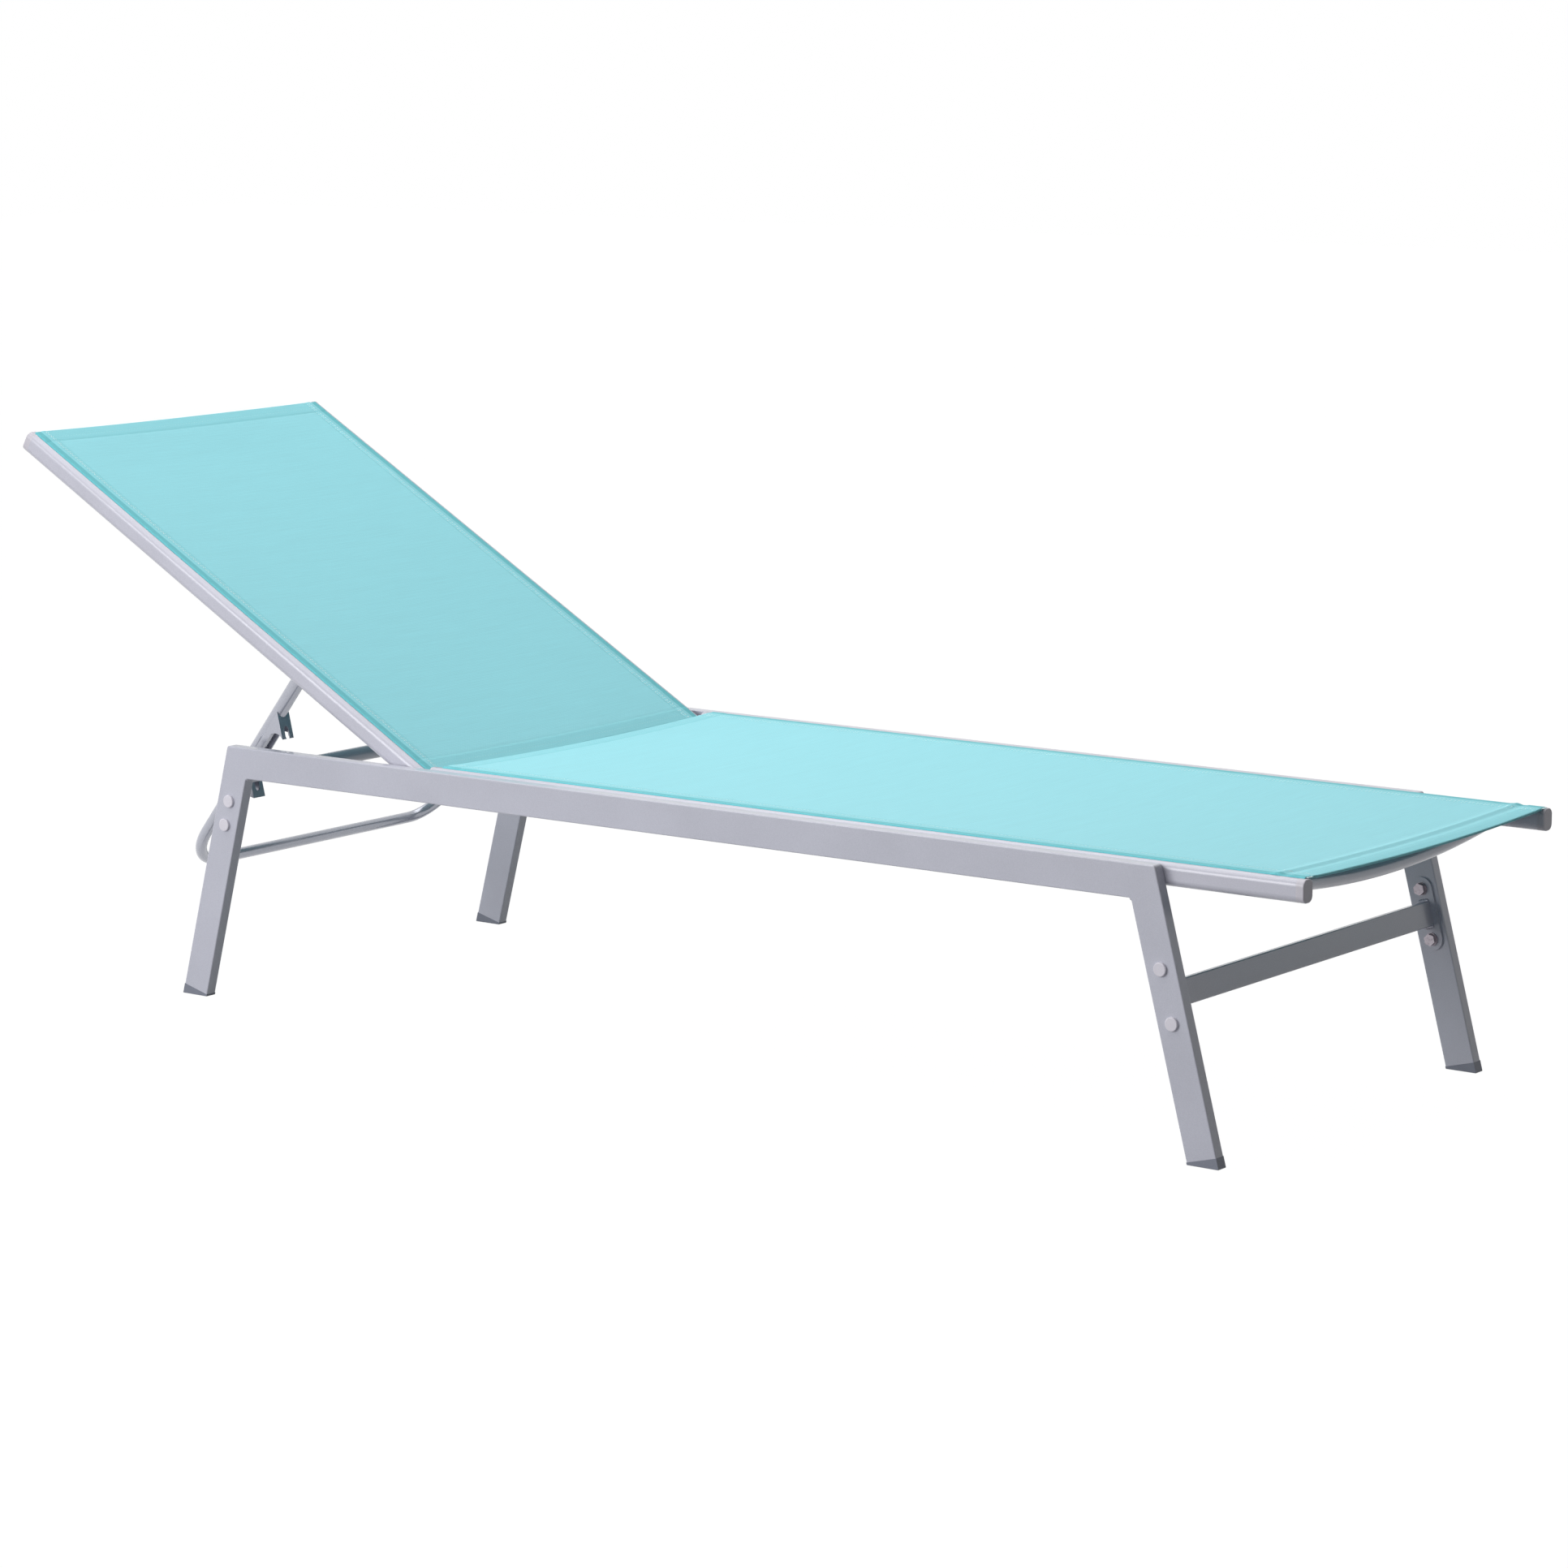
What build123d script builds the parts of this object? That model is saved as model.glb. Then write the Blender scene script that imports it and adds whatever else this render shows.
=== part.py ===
from build123d import *
from math import asin, atan2, cos, hypot, radians, sin, tan
import os

os.makedirs("parts", exist_ok=True)

# A sun lounger of flat steel tube with two stretched slings.
# Millimetres. X runs from the head end to the foot end, Z is up, and the left side is +Y.
# The origin is on the floor, midway along and across the lounger as it stands at rest.

# Side frames of flat tube
overall_width = 600.0
frame_length = 1400.0
frame_height = 333.0
tube_depth = 40.0
tube_width = 16.0
tube_wall = 1.2
tube_edge = 1.6
leg_splay = 88.0
corner_round = 3.5
inner_corner_round = 5.0
foot_lift = 3.0
foot_plug_depth = 22.0
foot_fit = 0.25
foot_edge = 0.8

# Extruded rails that hold the slings
rail_width = 20.0
rail_depth = 26.8
rail_corner = 8.0
rail_wall = 1.6
rail_above_frame = 1.3
seat_overhang = 181.5
end_cap_length = 10.0
end_cap_edge = 1.4
plug_depth = 16.0
plug_fit = 0.3
rear_plug_length = 2.5
hinge_plug_length = 4.0
hinge_plug_edge = 3.0

# Channel in the top of each rail for the bead of the sling
channel_radius = 3.5
channel_up = 8.4
slot_width = 2.4
floor_below_channel = 1.2

# Slings
sling_thickness = 1.0
sling_lift = 0.3
sling_sag = 5.0
bead_radius = 3.2
bead_bore = 2.35
rod_radius = 2.1
rod_shortfall = 3.0
sling_end_margin = 4.5
seat_sling_start = 42.0
neck_gap = 0.2

# Backrest and its hinge
hinge_from_corner = 298.0
back_length = 769.0
back_angle = 29.6
back_rail_tail = 9.0
side_gap = 3.0
seat_rail_start = 30.5
hinge_bolt_radius = 3.0
running_clearance = 0.05
bush_radius = 4.5
bush_fit = 0.05
bush_flange_radius = 6.5
bush_flange = 0.5
hinge_spacer = 2.6
bolt_head_radius = 5.0
bolt_head_height = 4.0
bolt_head_gap = 0.3
socket_radius = 2.0
socket_depth = 2.4
rivet_nut_radius = 4.4
rivet_nut_flange_radius = 5.6
rivet_nut_flange = 0.6
rivet_nut_length = 9.0
thread_clearance = 0.1

# Bowed spreaders under the slings
spreader_radius = 9.5
spreader_wall = 1.2
spreader_bow = 21.0
spreader_drop = 0.5
foot_spreader_from_end = 64.0
hip_spreader_from_hinge = 97.0
lumbar_spreader_from_hinge = 120.0
head_spreader_from_end = 47.0
spreader_overrun = 8.0

# Crossbars that join the side frames
crossbar_depth = 30.0
crossbar_thickness = 15.0
crossbar_edge = 1.6
crossbar_height = 187.5
front_bolt_spacing = 62.0
front_plate_width = 28.0
plate_thickness = 3.0
catch_bar_below_top = 41.5
catch_bar_radius = 9.5
catch_bar_wall = 1.5
catch_plate_width = 26.0
catch_plate_drop = 3.5
catch_to_first_bolt = 31.0
rear_bolt_spacing = 32.5

# Fasteners through the legs
leg_bolt_radius = 4.0
leg_bolt_head = 13.0
leg_bolt_head_height = 5.3
leg_bolt_hole_clearance = 0.3
washer_radius = 8.0
washer_thickness = 1.6
barrel_radius = 5.2
barrel_length = 10.0
barrel_flange_radius = 6.8
barrel_flange = 1.2
barrel_fit = 0.1
cap_radius = 8.2
cap_height = 3.4
cap_edge = 1.2
cap_fit = 0.2
rail_screw_radius = 2.2
rail_screw_head_radius = 4.2
rail_screw_head = 2.2
rail_screw_point = 5.0
rail_screw_fit = 0.05
rail_screw_count = 4
rail_screw_margin = 130.0

# Prop that holds the backrest up
prop_pivot_along = 235.0
prop_pivot_below = 0.8
catch_from_leg = 23.67
prop_inset = 51.0
prop_leg_radius = 9.5
prop_leg_below_catch = 44.5
prop_leg_top = 6.0
prop_plug_length = 3.0
prop_plug_edge = 2.4
bow_radius = 7.5
bow_wall = 1.4
bow_fit = 0.05
bow_overlap = 21.0
bow_below_catch = 189.5
bow_bend = 62.0
pivot_spacer_gap = 0.3

# Rack on each prop leg, pressed from sheet: along the leg from the catch bar, and out from its axis
rack_sheet = 2.0
rack_half_width = 10.6
rack_root = 3.2
rack_floor = 12.4
ramp_angle = 51.5
first_tooth_above_catch = 63.7
first_tooth_height = 38.5
hook_back = 6.5
hook_floor_start = 4.0
low_tooth_above_catch = 19.5
low_tooth_height = 24.0
last_tooth_below_catch = 26.5
last_tooth_height = 40.6
rack_tail_slope = 0.5
rack_slot_width = 7.5
rack_slot_length = 17.0
rack_slot_from_tip = 17.0
cradle_clearance = 0.9

# One overrun for all cuts that pass right through
overrun = 5.0

# Places worked out from the sizes above
half_width = overall_width / 2
splay_angle = atan2(leg_splay, frame_height)
rest_angle = radians(back_angle)
head_reach = (
    (back_length - end_cap_edge) * cos(rest_angle)
    + (rail_depth / 2 - end_cap_edge) * sin(rest_angle)
    + end_cap_edge
    - hinge_from_corner
)
rear_corner_x = (head_reach - frame_length - seat_overhang) / 2
front_corner_x = rear_corner_x + frame_length
foot_end_x = front_corner_x + seat_overhang
hinge_x = rear_corner_x + hinge_from_corner
rail_z = frame_height + rail_above_frame - rail_depth / 2
catch_bar_height = frame_height - catch_bar_below_top
frame_inner = half_width - tube_width
seat_rail_y = frame_inner - rail_width / 2
back_rail_y = frame_inner - side_gap - rail_width / 2
sides = {"left": 1, "right": -1}
ends = {"rear": -1, "front": 1}


def save(piece, name):
    """Label a finished piece and write it as its own file."""
    piece.part.label = name
    export_step(piece.part, f"parts/{name}.step")


def leg_point(end, height):
    """X of a leg's centre line at a height; end is -1 for the rear leg and 1 for the front leg."""
    corner = rear_corner_x if end < 0 else front_corner_x
    outward = (frame_height - height) * tan(splay_angle)
    return corner + end * (outward - tube_depth / 2 / cos(splay_angle))


def leg_plane(end, height, y, facing):
    """Plane on a leg's side face: local X up along the leg, local Z out of the face."""
    up_leg = (-end * sin(splay_angle), 0, cos(splay_angle))
    return Plane(origin=(leg_point(end, height), y, height), x_dir=up_leg, z_dir=(0, facing, 0))


def frame_outline(inset):
    """Corners of one side frame seen from the side, drawn in by an inset, with legs past the floor."""
    below = tube_depth
    wide = (frame_height + below) * tan(splay_angle)
    skew = inset / cos(splay_angle)
    inner = (tube_depth - inset) / cos(splay_angle)
    top = frame_height - inset
    soffit = frame_height - tube_depth + inset
    to_top = inset * tan(splay_angle)
    to_soffit = (tube_depth - inset) * tan(splay_angle)
    rear, front = rear_corner_x, front_corner_x
    return [
        (rear + skew - to_top, top),
        (front - skew + to_top, top),
        (front - skew + wide, -below),
        (front - inner + wide, -below),
        (front - inner + to_soffit, soffit),
        (rear + inner - to_soffit, soffit),
        (rear + inner - wide, -below),
        (rear + skew - wide, -below),
    ]


def frame_slab(inset, thickness, side):
    """Sketch plane at the left face of a slab centred in a side frame's width."""
    middle = side * (half_width - tube_width / 2)
    return Plane.XZ.offset(-(middle + thickness / 2))


def mitre_plane(end):
    """Plane through a frame corner, between leg and rail, facing the rail."""
    corner = rear_corner_x if end < 0 else front_corner_x
    half_turn = (radians(90) + splay_angle) / 2
    along = (-end * cos(half_turn), 0, -sin(half_turn))
    facing = (-end * sin(half_turn), 0, cos(half_turn))
    return Plane(origin=(corner, 0, frame_height), x_dir=along, z_dir=facing)


def foot_plane(end):
    """Plane square to a leg, where the tube stops above the floor; it faces up the leg."""
    lowest = foot_lift + tube_depth * sin(splay_angle) / 2
    up_leg = (-end * sin(splay_angle), 0, cos(splay_angle))
    return Plane(origin=(leg_point(end, lowest), 0, lowest), x_dir=(0, 1, 0), z_dir=up_leg)


def frame_tube(side):
    """The whole tube of one side frame, hollow, before it is cut at its mitres."""
    cavity_width = tube_width - 2 * tube_wall
    with BuildPart() as tube:
        with BuildSketch(frame_slab(0, tube_width, side)) as face:
            with BuildLine():
                Polyline(*frame_outline(0), close=True)
            make_face()
            tops = face.vertices().group_by(Axis.Y)[-1]
            fillet(tops, corner_round)
            soffits = face.vertices().filter_by(
                lambda v: abs(v.Y - (frame_height - tube_depth)) < tube_wall / 2
            )
            fillet(soffits, inner_corner_round)
        extrude(amount=tube_width)
        fillet(tube.faces().filter_by(Axis.Y).edges(), tube_edge)
        with BuildSketch(frame_slab(tube_wall, cavity_width, side)):
            with BuildLine():
                Polyline(*frame_outline(tube_wall), close=True)
            make_face()
        extrude(amount=cavity_width, mode=Mode.SUBTRACT)
    return tube.part


# Side rails: the long top tube of each side frame, with holes for the hinge and the rail screws
screw_run = frame_length - rail_screw_margin * 2 - hinge_from_corner
rail_screw_places = [
    hinge_x + rail_screw_margin + screw_run * i / (rail_screw_count - 1)
    for i in range(rail_screw_count)
]


def inner_face_plane(side, x, z, depth_in=0.0):
    """Plane on the inner face of a side frame, facing the middle; depth_in moves it into the tube."""
    return Plane(
        origin=(x, side * (frame_inner + depth_in), z), x_dir=(1, 0, 0), z_dir=(0, -side, 0)
    )


for side_name, side in sides.items():
    whole = frame_tube(side)
    with BuildPart() as side_rail:
        add(whole)
        split(bisect_by=mitre_plane(-1), keep=Keep.TOP)
        split(bisect_by=mitre_plane(1), keep=Keep.TOP)
        with BuildSketch(inner_face_plane(side, hinge_x, rail_z, tube_wall + overrun)):
            Circle(rivet_nut_radius + bush_fit)
        extrude(amount=tube_wall + overrun * 2, mode=Mode.SUBTRACT)
        for x in rail_screw_places:
            with BuildSketch(inner_face_plane(side, x, rail_z, tube_wall + overrun)):
                Circle(rail_screw_radius + rail_screw_fit)
            extrude(amount=tube_wall + overrun * 2, mode=Mode.SUBTRACT)
    save(side_rail, f"side_rail_{side_name}")

    # Legs: the splayed tubes, mitred and welded under the rail's ends
    for end_name, end in ends.items():
        if end < 0:
            first_bolt = catch_bar_height - catch_to_first_bolt * cos(splay_angle)
            bolt_heights = [first_bolt, first_bolt - rear_bolt_spacing * cos(splay_angle)]
        else:
            reach = front_bolt_spacing / 2 * cos(splay_angle)
            bolt_heights = [crossbar_height + reach, crossbar_height - reach]
        with BuildPart() as leg:
            add(whole)
            split(bisect_by=mitre_plane(end), keep=Keep.BOTTOM)
            split(bisect_by=foot_plane(end), keep=Keep.TOP)
            for height in bolt_heights:
                inner = leg_plane(end, height, side * (frame_inner - overrun), side)
                with BuildSketch(inner):
                    Circle(leg_bolt_radius + leg_bolt_hole_clearance)
                extrude(amount=overrun + tube_wall * 2, mode=Mode.SUBTRACT)
                outer = leg_plane(end, height, side * (half_width + overrun), -side)
                with BuildSketch(outer):
                    Circle(barrel_radius + barrel_fit)
                extrude(amount=overrun + tube_wall * 2, mode=Mode.SUBTRACT)
        save(leg, f"{end_name}_leg_{side_name}")


# Foot caps: plastic wedges between the square cut tube and the floor, with a plug up the tube
def foot_outline(end, inset, top_height):
    """Outline of a foot cap or its plug, from the floor or the cut up to a plane across the leg."""
    foot = foot_plane(end)
    across = (tube_depth - 2 * inset) / 2
    cut_x, cut_z = foot.origin.X, foot.origin.Z
    level = (end * cos(splay_angle), sin(splay_angle))
    up_leg = (-end * sin(splay_angle), cos(splay_angle))
    out_edge = (cut_x + level[0] * across, cut_z + level[1] * across)
    in_edge = (cut_x - level[0] * across, cut_z - level[1] * across)
    out_low = (out_edge[0] + end * out_edge[1] * tan(splay_angle), 0.0)
    in_low = (in_edge[0] + end * in_edge[1] * tan(splay_angle), 0.0)
    out_top = (out_edge[0] + up_leg[0] * top_height, out_edge[1] + up_leg[1] * top_height)
    in_top = (in_edge[0] + up_leg[0] * top_height, in_edge[1] + up_leg[1] * top_height)
    return [out_edge, in_edge, in_low, out_low], [out_edge, in_edge, in_top, out_top]


for side_name, side in sides.items():
    for end_name, end in ends.items():
        plug_width = tube_width - 2 * tube_wall - 2 * foot_fit
        wedge, _ = foot_outline(end, 0, 0)
        _, plug = foot_outline(end, tube_wall + foot_fit, foot_plug_depth)
        with BuildPart() as foot_cap:
            with BuildSketch(frame_slab(0, tube_width, side)):
                with BuildLine():
                    Polyline(*wedge, close=True)
                make_face()
            extrude(amount=tube_width)
            fillet(foot_cap.edges().group_by(Axis.Z)[0], foot_edge)
            with BuildSketch(frame_slab(0, plug_width, side)):
                with BuildLine():
                    Polyline(*plug, close=True)
                make_face()
            extrude(amount=plug_width)
        save(foot_cap, f"{end_name}_foot_cap_{side_name}")


# Front crossbar: flat tube between bolted end plates
bar_half = frame_inner - plate_thickness
crossbar_plane = leg_plane(1, crossbar_height, -bar_half, 1)
with BuildPart() as front_crossbar:
    with BuildSketch(crossbar_plane):
        RectangleRounded(crossbar_depth, crossbar_thickness, crossbar_edge)
        Rectangle(
            crossbar_depth - 2 * tube_wall, crossbar_thickness - 2 * tube_wall, mode=Mode.SUBTRACT
        )
    extrude(amount=bar_half * 2)
save(front_crossbar, "front_crossbar")

# Catch bar: the round tube that the prop's rack hooks on
with BuildPart() as catch_bar:
    with BuildSketch(leg_plane(-1, catch_bar_height, -bar_half, 1)):
        Circle(catch_bar_radius)
        Circle(catch_bar_radius - catch_bar_wall, mode=Mode.SUBTRACT)
    extrude(amount=bar_half * 2)
save(catch_bar, "catch_bar")

front_bolts = [front_bolt_spacing / 2, -front_bolt_spacing / 2]
rear_bolts = [-catch_to_first_bolt, -catch_to_first_bolt - rear_bolt_spacing]
catch_plate_span = catch_to_first_bolt + rear_bolt_spacing - catch_plate_drop

for side_name, side in sides.items():
    with BuildPart() as front_plate:
        with BuildSketch(leg_plane(1, crossbar_height, side * bar_half, side)):
            SlotCenterToCenter(front_bolt_spacing, front_plate_width)
            with Locations(*[(at, 0) for at in front_bolts]):
                Circle(leg_bolt_radius + leg_bolt_hole_clearance, mode=Mode.SUBTRACT)
        extrude(amount=plate_thickness)
    save(front_plate, f"front_end_plate_{side_name}")

    with BuildPart() as rear_plate:
        with BuildSketch(leg_plane(-1, catch_bar_height, side * bar_half, side)):
            with Locations((-catch_plate_drop - catch_plate_span / 2, 0)):
                SlotCenterToCenter(catch_plate_span, catch_plate_width)
            with Locations(*[(at, 0) for at in rear_bolts]):
                Circle(leg_bolt_radius + leg_bolt_hole_clearance, mode=Mode.SUBTRACT)
        extrude(amount=plate_thickness)
    save(rear_plate, f"rear_end_plate_{side_name}")


# Leg fasteners: hex bolt and washer inside, barrel nut and snap cap outside, four at each end
for end_name, end in ends.items():
    height = catch_bar_height if end < 0 else crossbar_height
    places = rear_bolts if end < 0 else front_bolts
    shank_end = half_width - tube_wall
    with BuildPart() as bolts:
        for side in sides.values():
            for at in places:
                head_plane = leg_plane(end, height, side * (bar_half - washer_thickness), -side)
                with BuildSketch(head_plane):
                    with Locations((at, 0)):
                        RegularPolygon(leg_bolt_head / 2, 6, major_radius=False)
                extrude(amount=leg_bolt_head_height)
                with BuildSketch(leg_plane(end, height, side * (bar_half - washer_thickness), side)):
                    with Locations((at, 0)):
                        Circle(leg_bolt_radius)
                extrude(amount=shank_end - bar_half + washer_thickness)
    save(bolts, f"{end_name}_leg_bolts")

    with BuildPart() as washers:
        for side in sides.values():
            with BuildSketch(leg_plane(end, height, side * (bar_half - washer_thickness), side)):
                with Locations(*[(at, 0) for at in places]):
                    Circle(washer_radius)
                    Circle(leg_bolt_radius + leg_bolt_hole_clearance, mode=Mode.SUBTRACT)
            extrude(amount=washer_thickness)
    save(washers, f"{end_name}_leg_washers")

    with BuildPart() as barrels:
        for side in sides.values():
            with BuildSketch(leg_plane(end, height, side * half_width, side)):
                with Locations(*[(at, 0) for at in places]):
                    Circle(barrel_flange_radius)
            extrude(amount=barrel_flange)
            with BuildSketch(leg_plane(end, height, side * half_width, -side)):
                with Locations(*[(at, 0) for at in places]):
                    Circle(barrel_radius)
            extrude(amount=barrel_length)
            bore_start = leg_plane(end, height, side * (half_width - barrel_length - overrun), side)
            with BuildSketch(bore_start):
                with Locations(*[(at, 0) for at in places]):
                    Circle(leg_bolt_radius + thread_clearance)
            extrude(amount=barrel_length + overrun - tube_wall + thread_clearance, mode=Mode.SUBTRACT)
    save(barrels, f"{end_name}_barrel_nuts")

    with BuildPart() as caps:
        for side in sides.values():
            with BuildSketch(leg_plane(end, height, side * half_width, side)):
                with Locations(*[(at, 0) for at in places]):
                    Circle(cap_radius)
            extrude(amount=cap_height)
        rims = caps.faces().filter_by(Axis.Y).filter_by(
            lambda f: abs(f.center().Y) > half_width + cap_height / 2
        )
        fillet(rims.edges(), cap_edge)
        for side in sides.values():
            with BuildSketch(leg_plane(end, height, side * half_width, side)):
                with Locations(*[(at, 0) for at in places]):
                    Circle(barrel_flange_radius + cap_fit)
            extrude(amount=barrel_flange + cap_fit, mode=Mode.SUBTRACT)
    save(caps, f"{end_name}_bolt_caps")


# Extruded rails: a rounded tube with a bead channel along the middle of its top
cavity_top = channel_up - channel_radius - floor_below_channel
cavity_bottom = -rail_depth / 2 + rail_wall
cavity_width = rail_width - 2 * rail_wall
cavity_corner = rail_corner - rail_wall


def rail_outline():
    """Section of a rail, open along its top for the sling."""
    RectangleRounded(rail_width, rail_depth, rail_corner)
    with Locations((0, channel_up)):
        Circle(channel_radius, mode=Mode.SUBTRACT)
    slot_run = rail_depth / 2 - channel_up + overrun
    with Locations((0, channel_up + slot_run / 2)):
        Rectangle(slot_width, slot_run, mode=Mode.SUBTRACT)
    cavity_outline(0, Mode.SUBTRACT)


def cavity_outline(fit, mode):
    """Section of the hollow under the channel, or of a plug in it that is smaller by a fit."""
    with Locations((0, (cavity_top + cavity_bottom) / 2)):
        RectangleRounded(
            cavity_width - 2 * fit,
            cavity_top - cavity_bottom - 2 * fit,
            min(cavity_corner - fit, (cavity_top - cavity_bottom) / 2 - rail_wall),
            mode=mode,
        )


def seat_plane(side, x, y=seat_rail_y):
    """Plane across a seat rail at x, with local Z towards the foot end and local Y up."""
    return Plane(origin=(x, side * y, rail_z), x_dir=(0, 1, 0), z_dir=(1, 0, 0))


back_along = Vector(-cos(rest_angle), 0, sin(rest_angle))
back_up = Vector(sin(rest_angle), 0, cos(rest_angle))
hinge_point = Vector(hinge_x, 0, rail_z)


def back_plane(side, along, y=back_rail_y):
    """Plane across a back rail, at a distance from the hinge; local Z runs to the head end."""
    origin = hinge_point + back_along * along + Vector(0, side * y, 0)
    return Plane(origin=origin, x_dir=(0, -1, 0), z_dir=back_along)


def back_side_plane(along, up, y, facing):
    """Plane along a back rail's side, at a place along and above its centre line."""
    origin = hinge_point + back_along * along + back_up * up + Vector(0, y, 0)
    return Plane(origin=origin, x_dir=back_along, z_dir=(0, facing, 0))


seat_rail_x = hinge_x + seat_rail_start
seat_rail_end = foot_end_x - end_cap_length
back_rail_length = back_length - end_cap_length + back_rail_tail

for side_name, side in sides.items():
    with BuildPart() as seat_rail:
        with BuildSketch(seat_plane(side, seat_rail_x)):
            rail_outline()
        extrude(amount=seat_rail_end - seat_rail_x)
        for x in rail_screw_places:
            with BuildSketch(inner_face_plane(side, x, rail_z, overrun)):
                Circle(rail_screw_radius + rail_screw_fit)
            extrude(amount=overrun * 2 + rail_wall * 2, mode=Mode.SUBTRACT)
    save(seat_rail, f"seat_rail_{side_name}")

    with BuildPart() as back_rail:
        with BuildSketch(back_plane(side, -back_rail_tail)):
            rail_outline()
        extrude(amount=back_rail_length)
        hinge_side = back_side_plane(0, 0, side * (frame_inner + overrun), -side)
        with BuildSketch(hinge_side):
            Circle(bush_radius + bush_fit)
        extrude(amount=rail_width + side_gap + overrun * 2, mode=Mode.SUBTRACT)
        inner_wall = side * (back_rail_y - rail_width / 2 - overrun)
        with BuildSketch(back_side_plane(prop_pivot_along, -prop_pivot_below, inner_wall, side)):
            Circle(rivet_nut_radius + bush_fit)
        extrude(amount=overrun * 2 + rivet_nut_length, mode=Mode.SUBTRACT)
    save(back_rail, f"back_rail_{side_name}")

    # End caps: moulded plastic, pushed into the hollow of each rail
    with BuildPart() as seat_cap:
        with BuildSketch(seat_plane(side, seat_rail_end)):
            RectangleRounded(rail_width, rail_depth, rail_corner)
        extrude(amount=end_cap_length)
        fillet(seat_cap.faces().sort_by(Axis.X)[-1].edges(), end_cap_edge)
        with BuildSketch(seat_plane(side, seat_rail_end - plug_depth)):
            cavity_outline(plug_fit, Mode.ADD)
        extrude(amount=plug_depth)
    save(seat_cap, f"seat_rail_cap_{side_name}")

    with BuildPart() as back_cap:
        with BuildSketch(back_plane(side, back_length - end_cap_length)):
            RectangleRounded(rail_width, rail_depth, rail_corner)
        extrude(amount=end_cap_length)
        fillet(back_cap.faces().sort_by(Axis(hinge_point, back_along))[-1].edges(), end_cap_edge)
        with BuildSketch(back_plane(side, back_length - end_cap_length - plug_depth)):
            cavity_outline(plug_fit, Mode.ADD)
        extrude(amount=plug_depth)
    save(back_cap, f"back_rail_cap_{side_name}")

# Rear plugs close the seat rails beside the hinge
with BuildPart() as seat_plugs:
    for side in sides.values():
        with BuildSketch(seat_plane(side, seat_rail_x - rear_plug_length)):
            RectangleRounded(rail_width, rail_depth, rail_corner)
        extrude(amount=rear_plug_length)
        with BuildSketch(seat_plane(side, seat_rail_x)):
            cavity_outline(plug_fit, Mode.ADD)
        extrude(amount=plug_depth)
save(seat_plugs, "seat_rail_rear_plugs")

# Hinge plugs close the lower ends of the back rails, rounded so that they pass the seat rails
with BuildPart() as hinge_plugs:
    for side in sides.values():
        with BuildSketch(back_plane(side, -back_rail_tail - hinge_plug_length)):
            RectangleRounded(rail_width, rail_depth, rail_corner)
        extrude(amount=hinge_plug_length)
        end_faces = hinge_plugs.faces().filter_by(
            lambda f: f.normal_at().dot(back_along) < -cos(splay_angle)
        )
        fillet(end_faces.filter_by(lambda f: side * f.center().Y > 0).edges(), hinge_plug_edge)
save(hinge_plugs, "back_rail_hinge_plugs")

# Rail screws hold the seat rails to the side rails, from inside the frame tube
with BuildPart() as rail_screws:
    for side in sides.values():
        for x in rail_screw_places:
            with BuildSketch(inner_face_plane(side, x, rail_z, tube_wall)):
                Circle(rail_screw_radius)
            extrude(amount=tube_wall + rail_screw_point)
            with BuildSketch(inner_face_plane(side, x, rail_z, tube_wall + rail_screw_head)):
                Circle(rail_screw_head_radius)
            extrude(amount=rail_screw_head)
save(rail_screws, "rail_screws")


# Spreaders: bowed tubes that hold the rails apart against the pull of the slings
def spreader(middle, down, half_span):
    """Bowed tube centred on a point, bowed along a unit vector, cut flush at its two rails."""
    reach = half_span + spreader_overrun
    rise = spreader_bow * (reach / half_span) ** 2
    low = middle + down * (spreader_drop + spreader_bow)
    tip = low - down * rise
    with BuildPart() as tube:
        with BuildLine() as arc:
            ThreePointArc(tip + Vector(0, -reach, 0), low, tip + Vector(0, reach, 0))
        start = Plane(origin=arc.line @ 0, z_dir=arc.line % 0)
        with BuildSketch(start):
            Circle(spreader_radius)
            Circle(spreader_radius - spreader_wall, mode=Mode.SUBTRACT)
        sweep()
        split(bisect_by=Plane(origin=(0, half_span, 0), z_dir=(0, 1, 0)), keep=Keep.BOTTOM)
        split(bisect_by=Plane(origin=(0, -half_span, 0), z_dir=(0, 1, 0)), keep=Keep.TOP)
    return tube


seat_half_span = seat_rail_y - rail_width / 2
back_half_span = back_rail_y - rail_width / 2
foot_spreader_x = foot_end_x - foot_spreader_from_end
for name, x in (("foot", foot_spreader_x), ("hip", hinge_x + hip_spreader_from_hinge)):
    middle = Vector(x, 0, rail_z)
    save(spreader(middle, Vector(0, 0, -1), seat_half_span), f"seat_{name}_spreader")
head_spreader_along = back_length - head_spreader_from_end
for name, along in (("lumbar", lumbar_spreader_from_hinge), ("head", head_spreader_along)):
    middle = hinge_point + back_along * along
    save(spreader(middle, back_up * -1, back_half_span), f"back_{name}_spreader")


# Slings: coated mesh with a beaded edge in each channel, and a plastic rod in each bead
neck_in = slot_width / 2 - neck_gap - sling_thickness / 2


def sheet_section(rail_middle):
    """Section across a sling, from one rail's slot over the rail tops to the other's, in an arc."""
    edge = rail_middle - neck_in + sling_thickness / 2
    low = rail_depth / 2 + sling_lift
    top = low + sling_thickness
    with BuildSketch() as section:
        with BuildLine():
            ThreePointArc((-edge, top), (0, top - sling_sag), (edge, top))
            Line((edge, top), (edge, low))
            ThreePointArc((edge, low), (0, low - sling_sag), (-edge, low))
            Line((-edge, low), (-edge, top))
        make_face()
    return section.sketch


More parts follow.
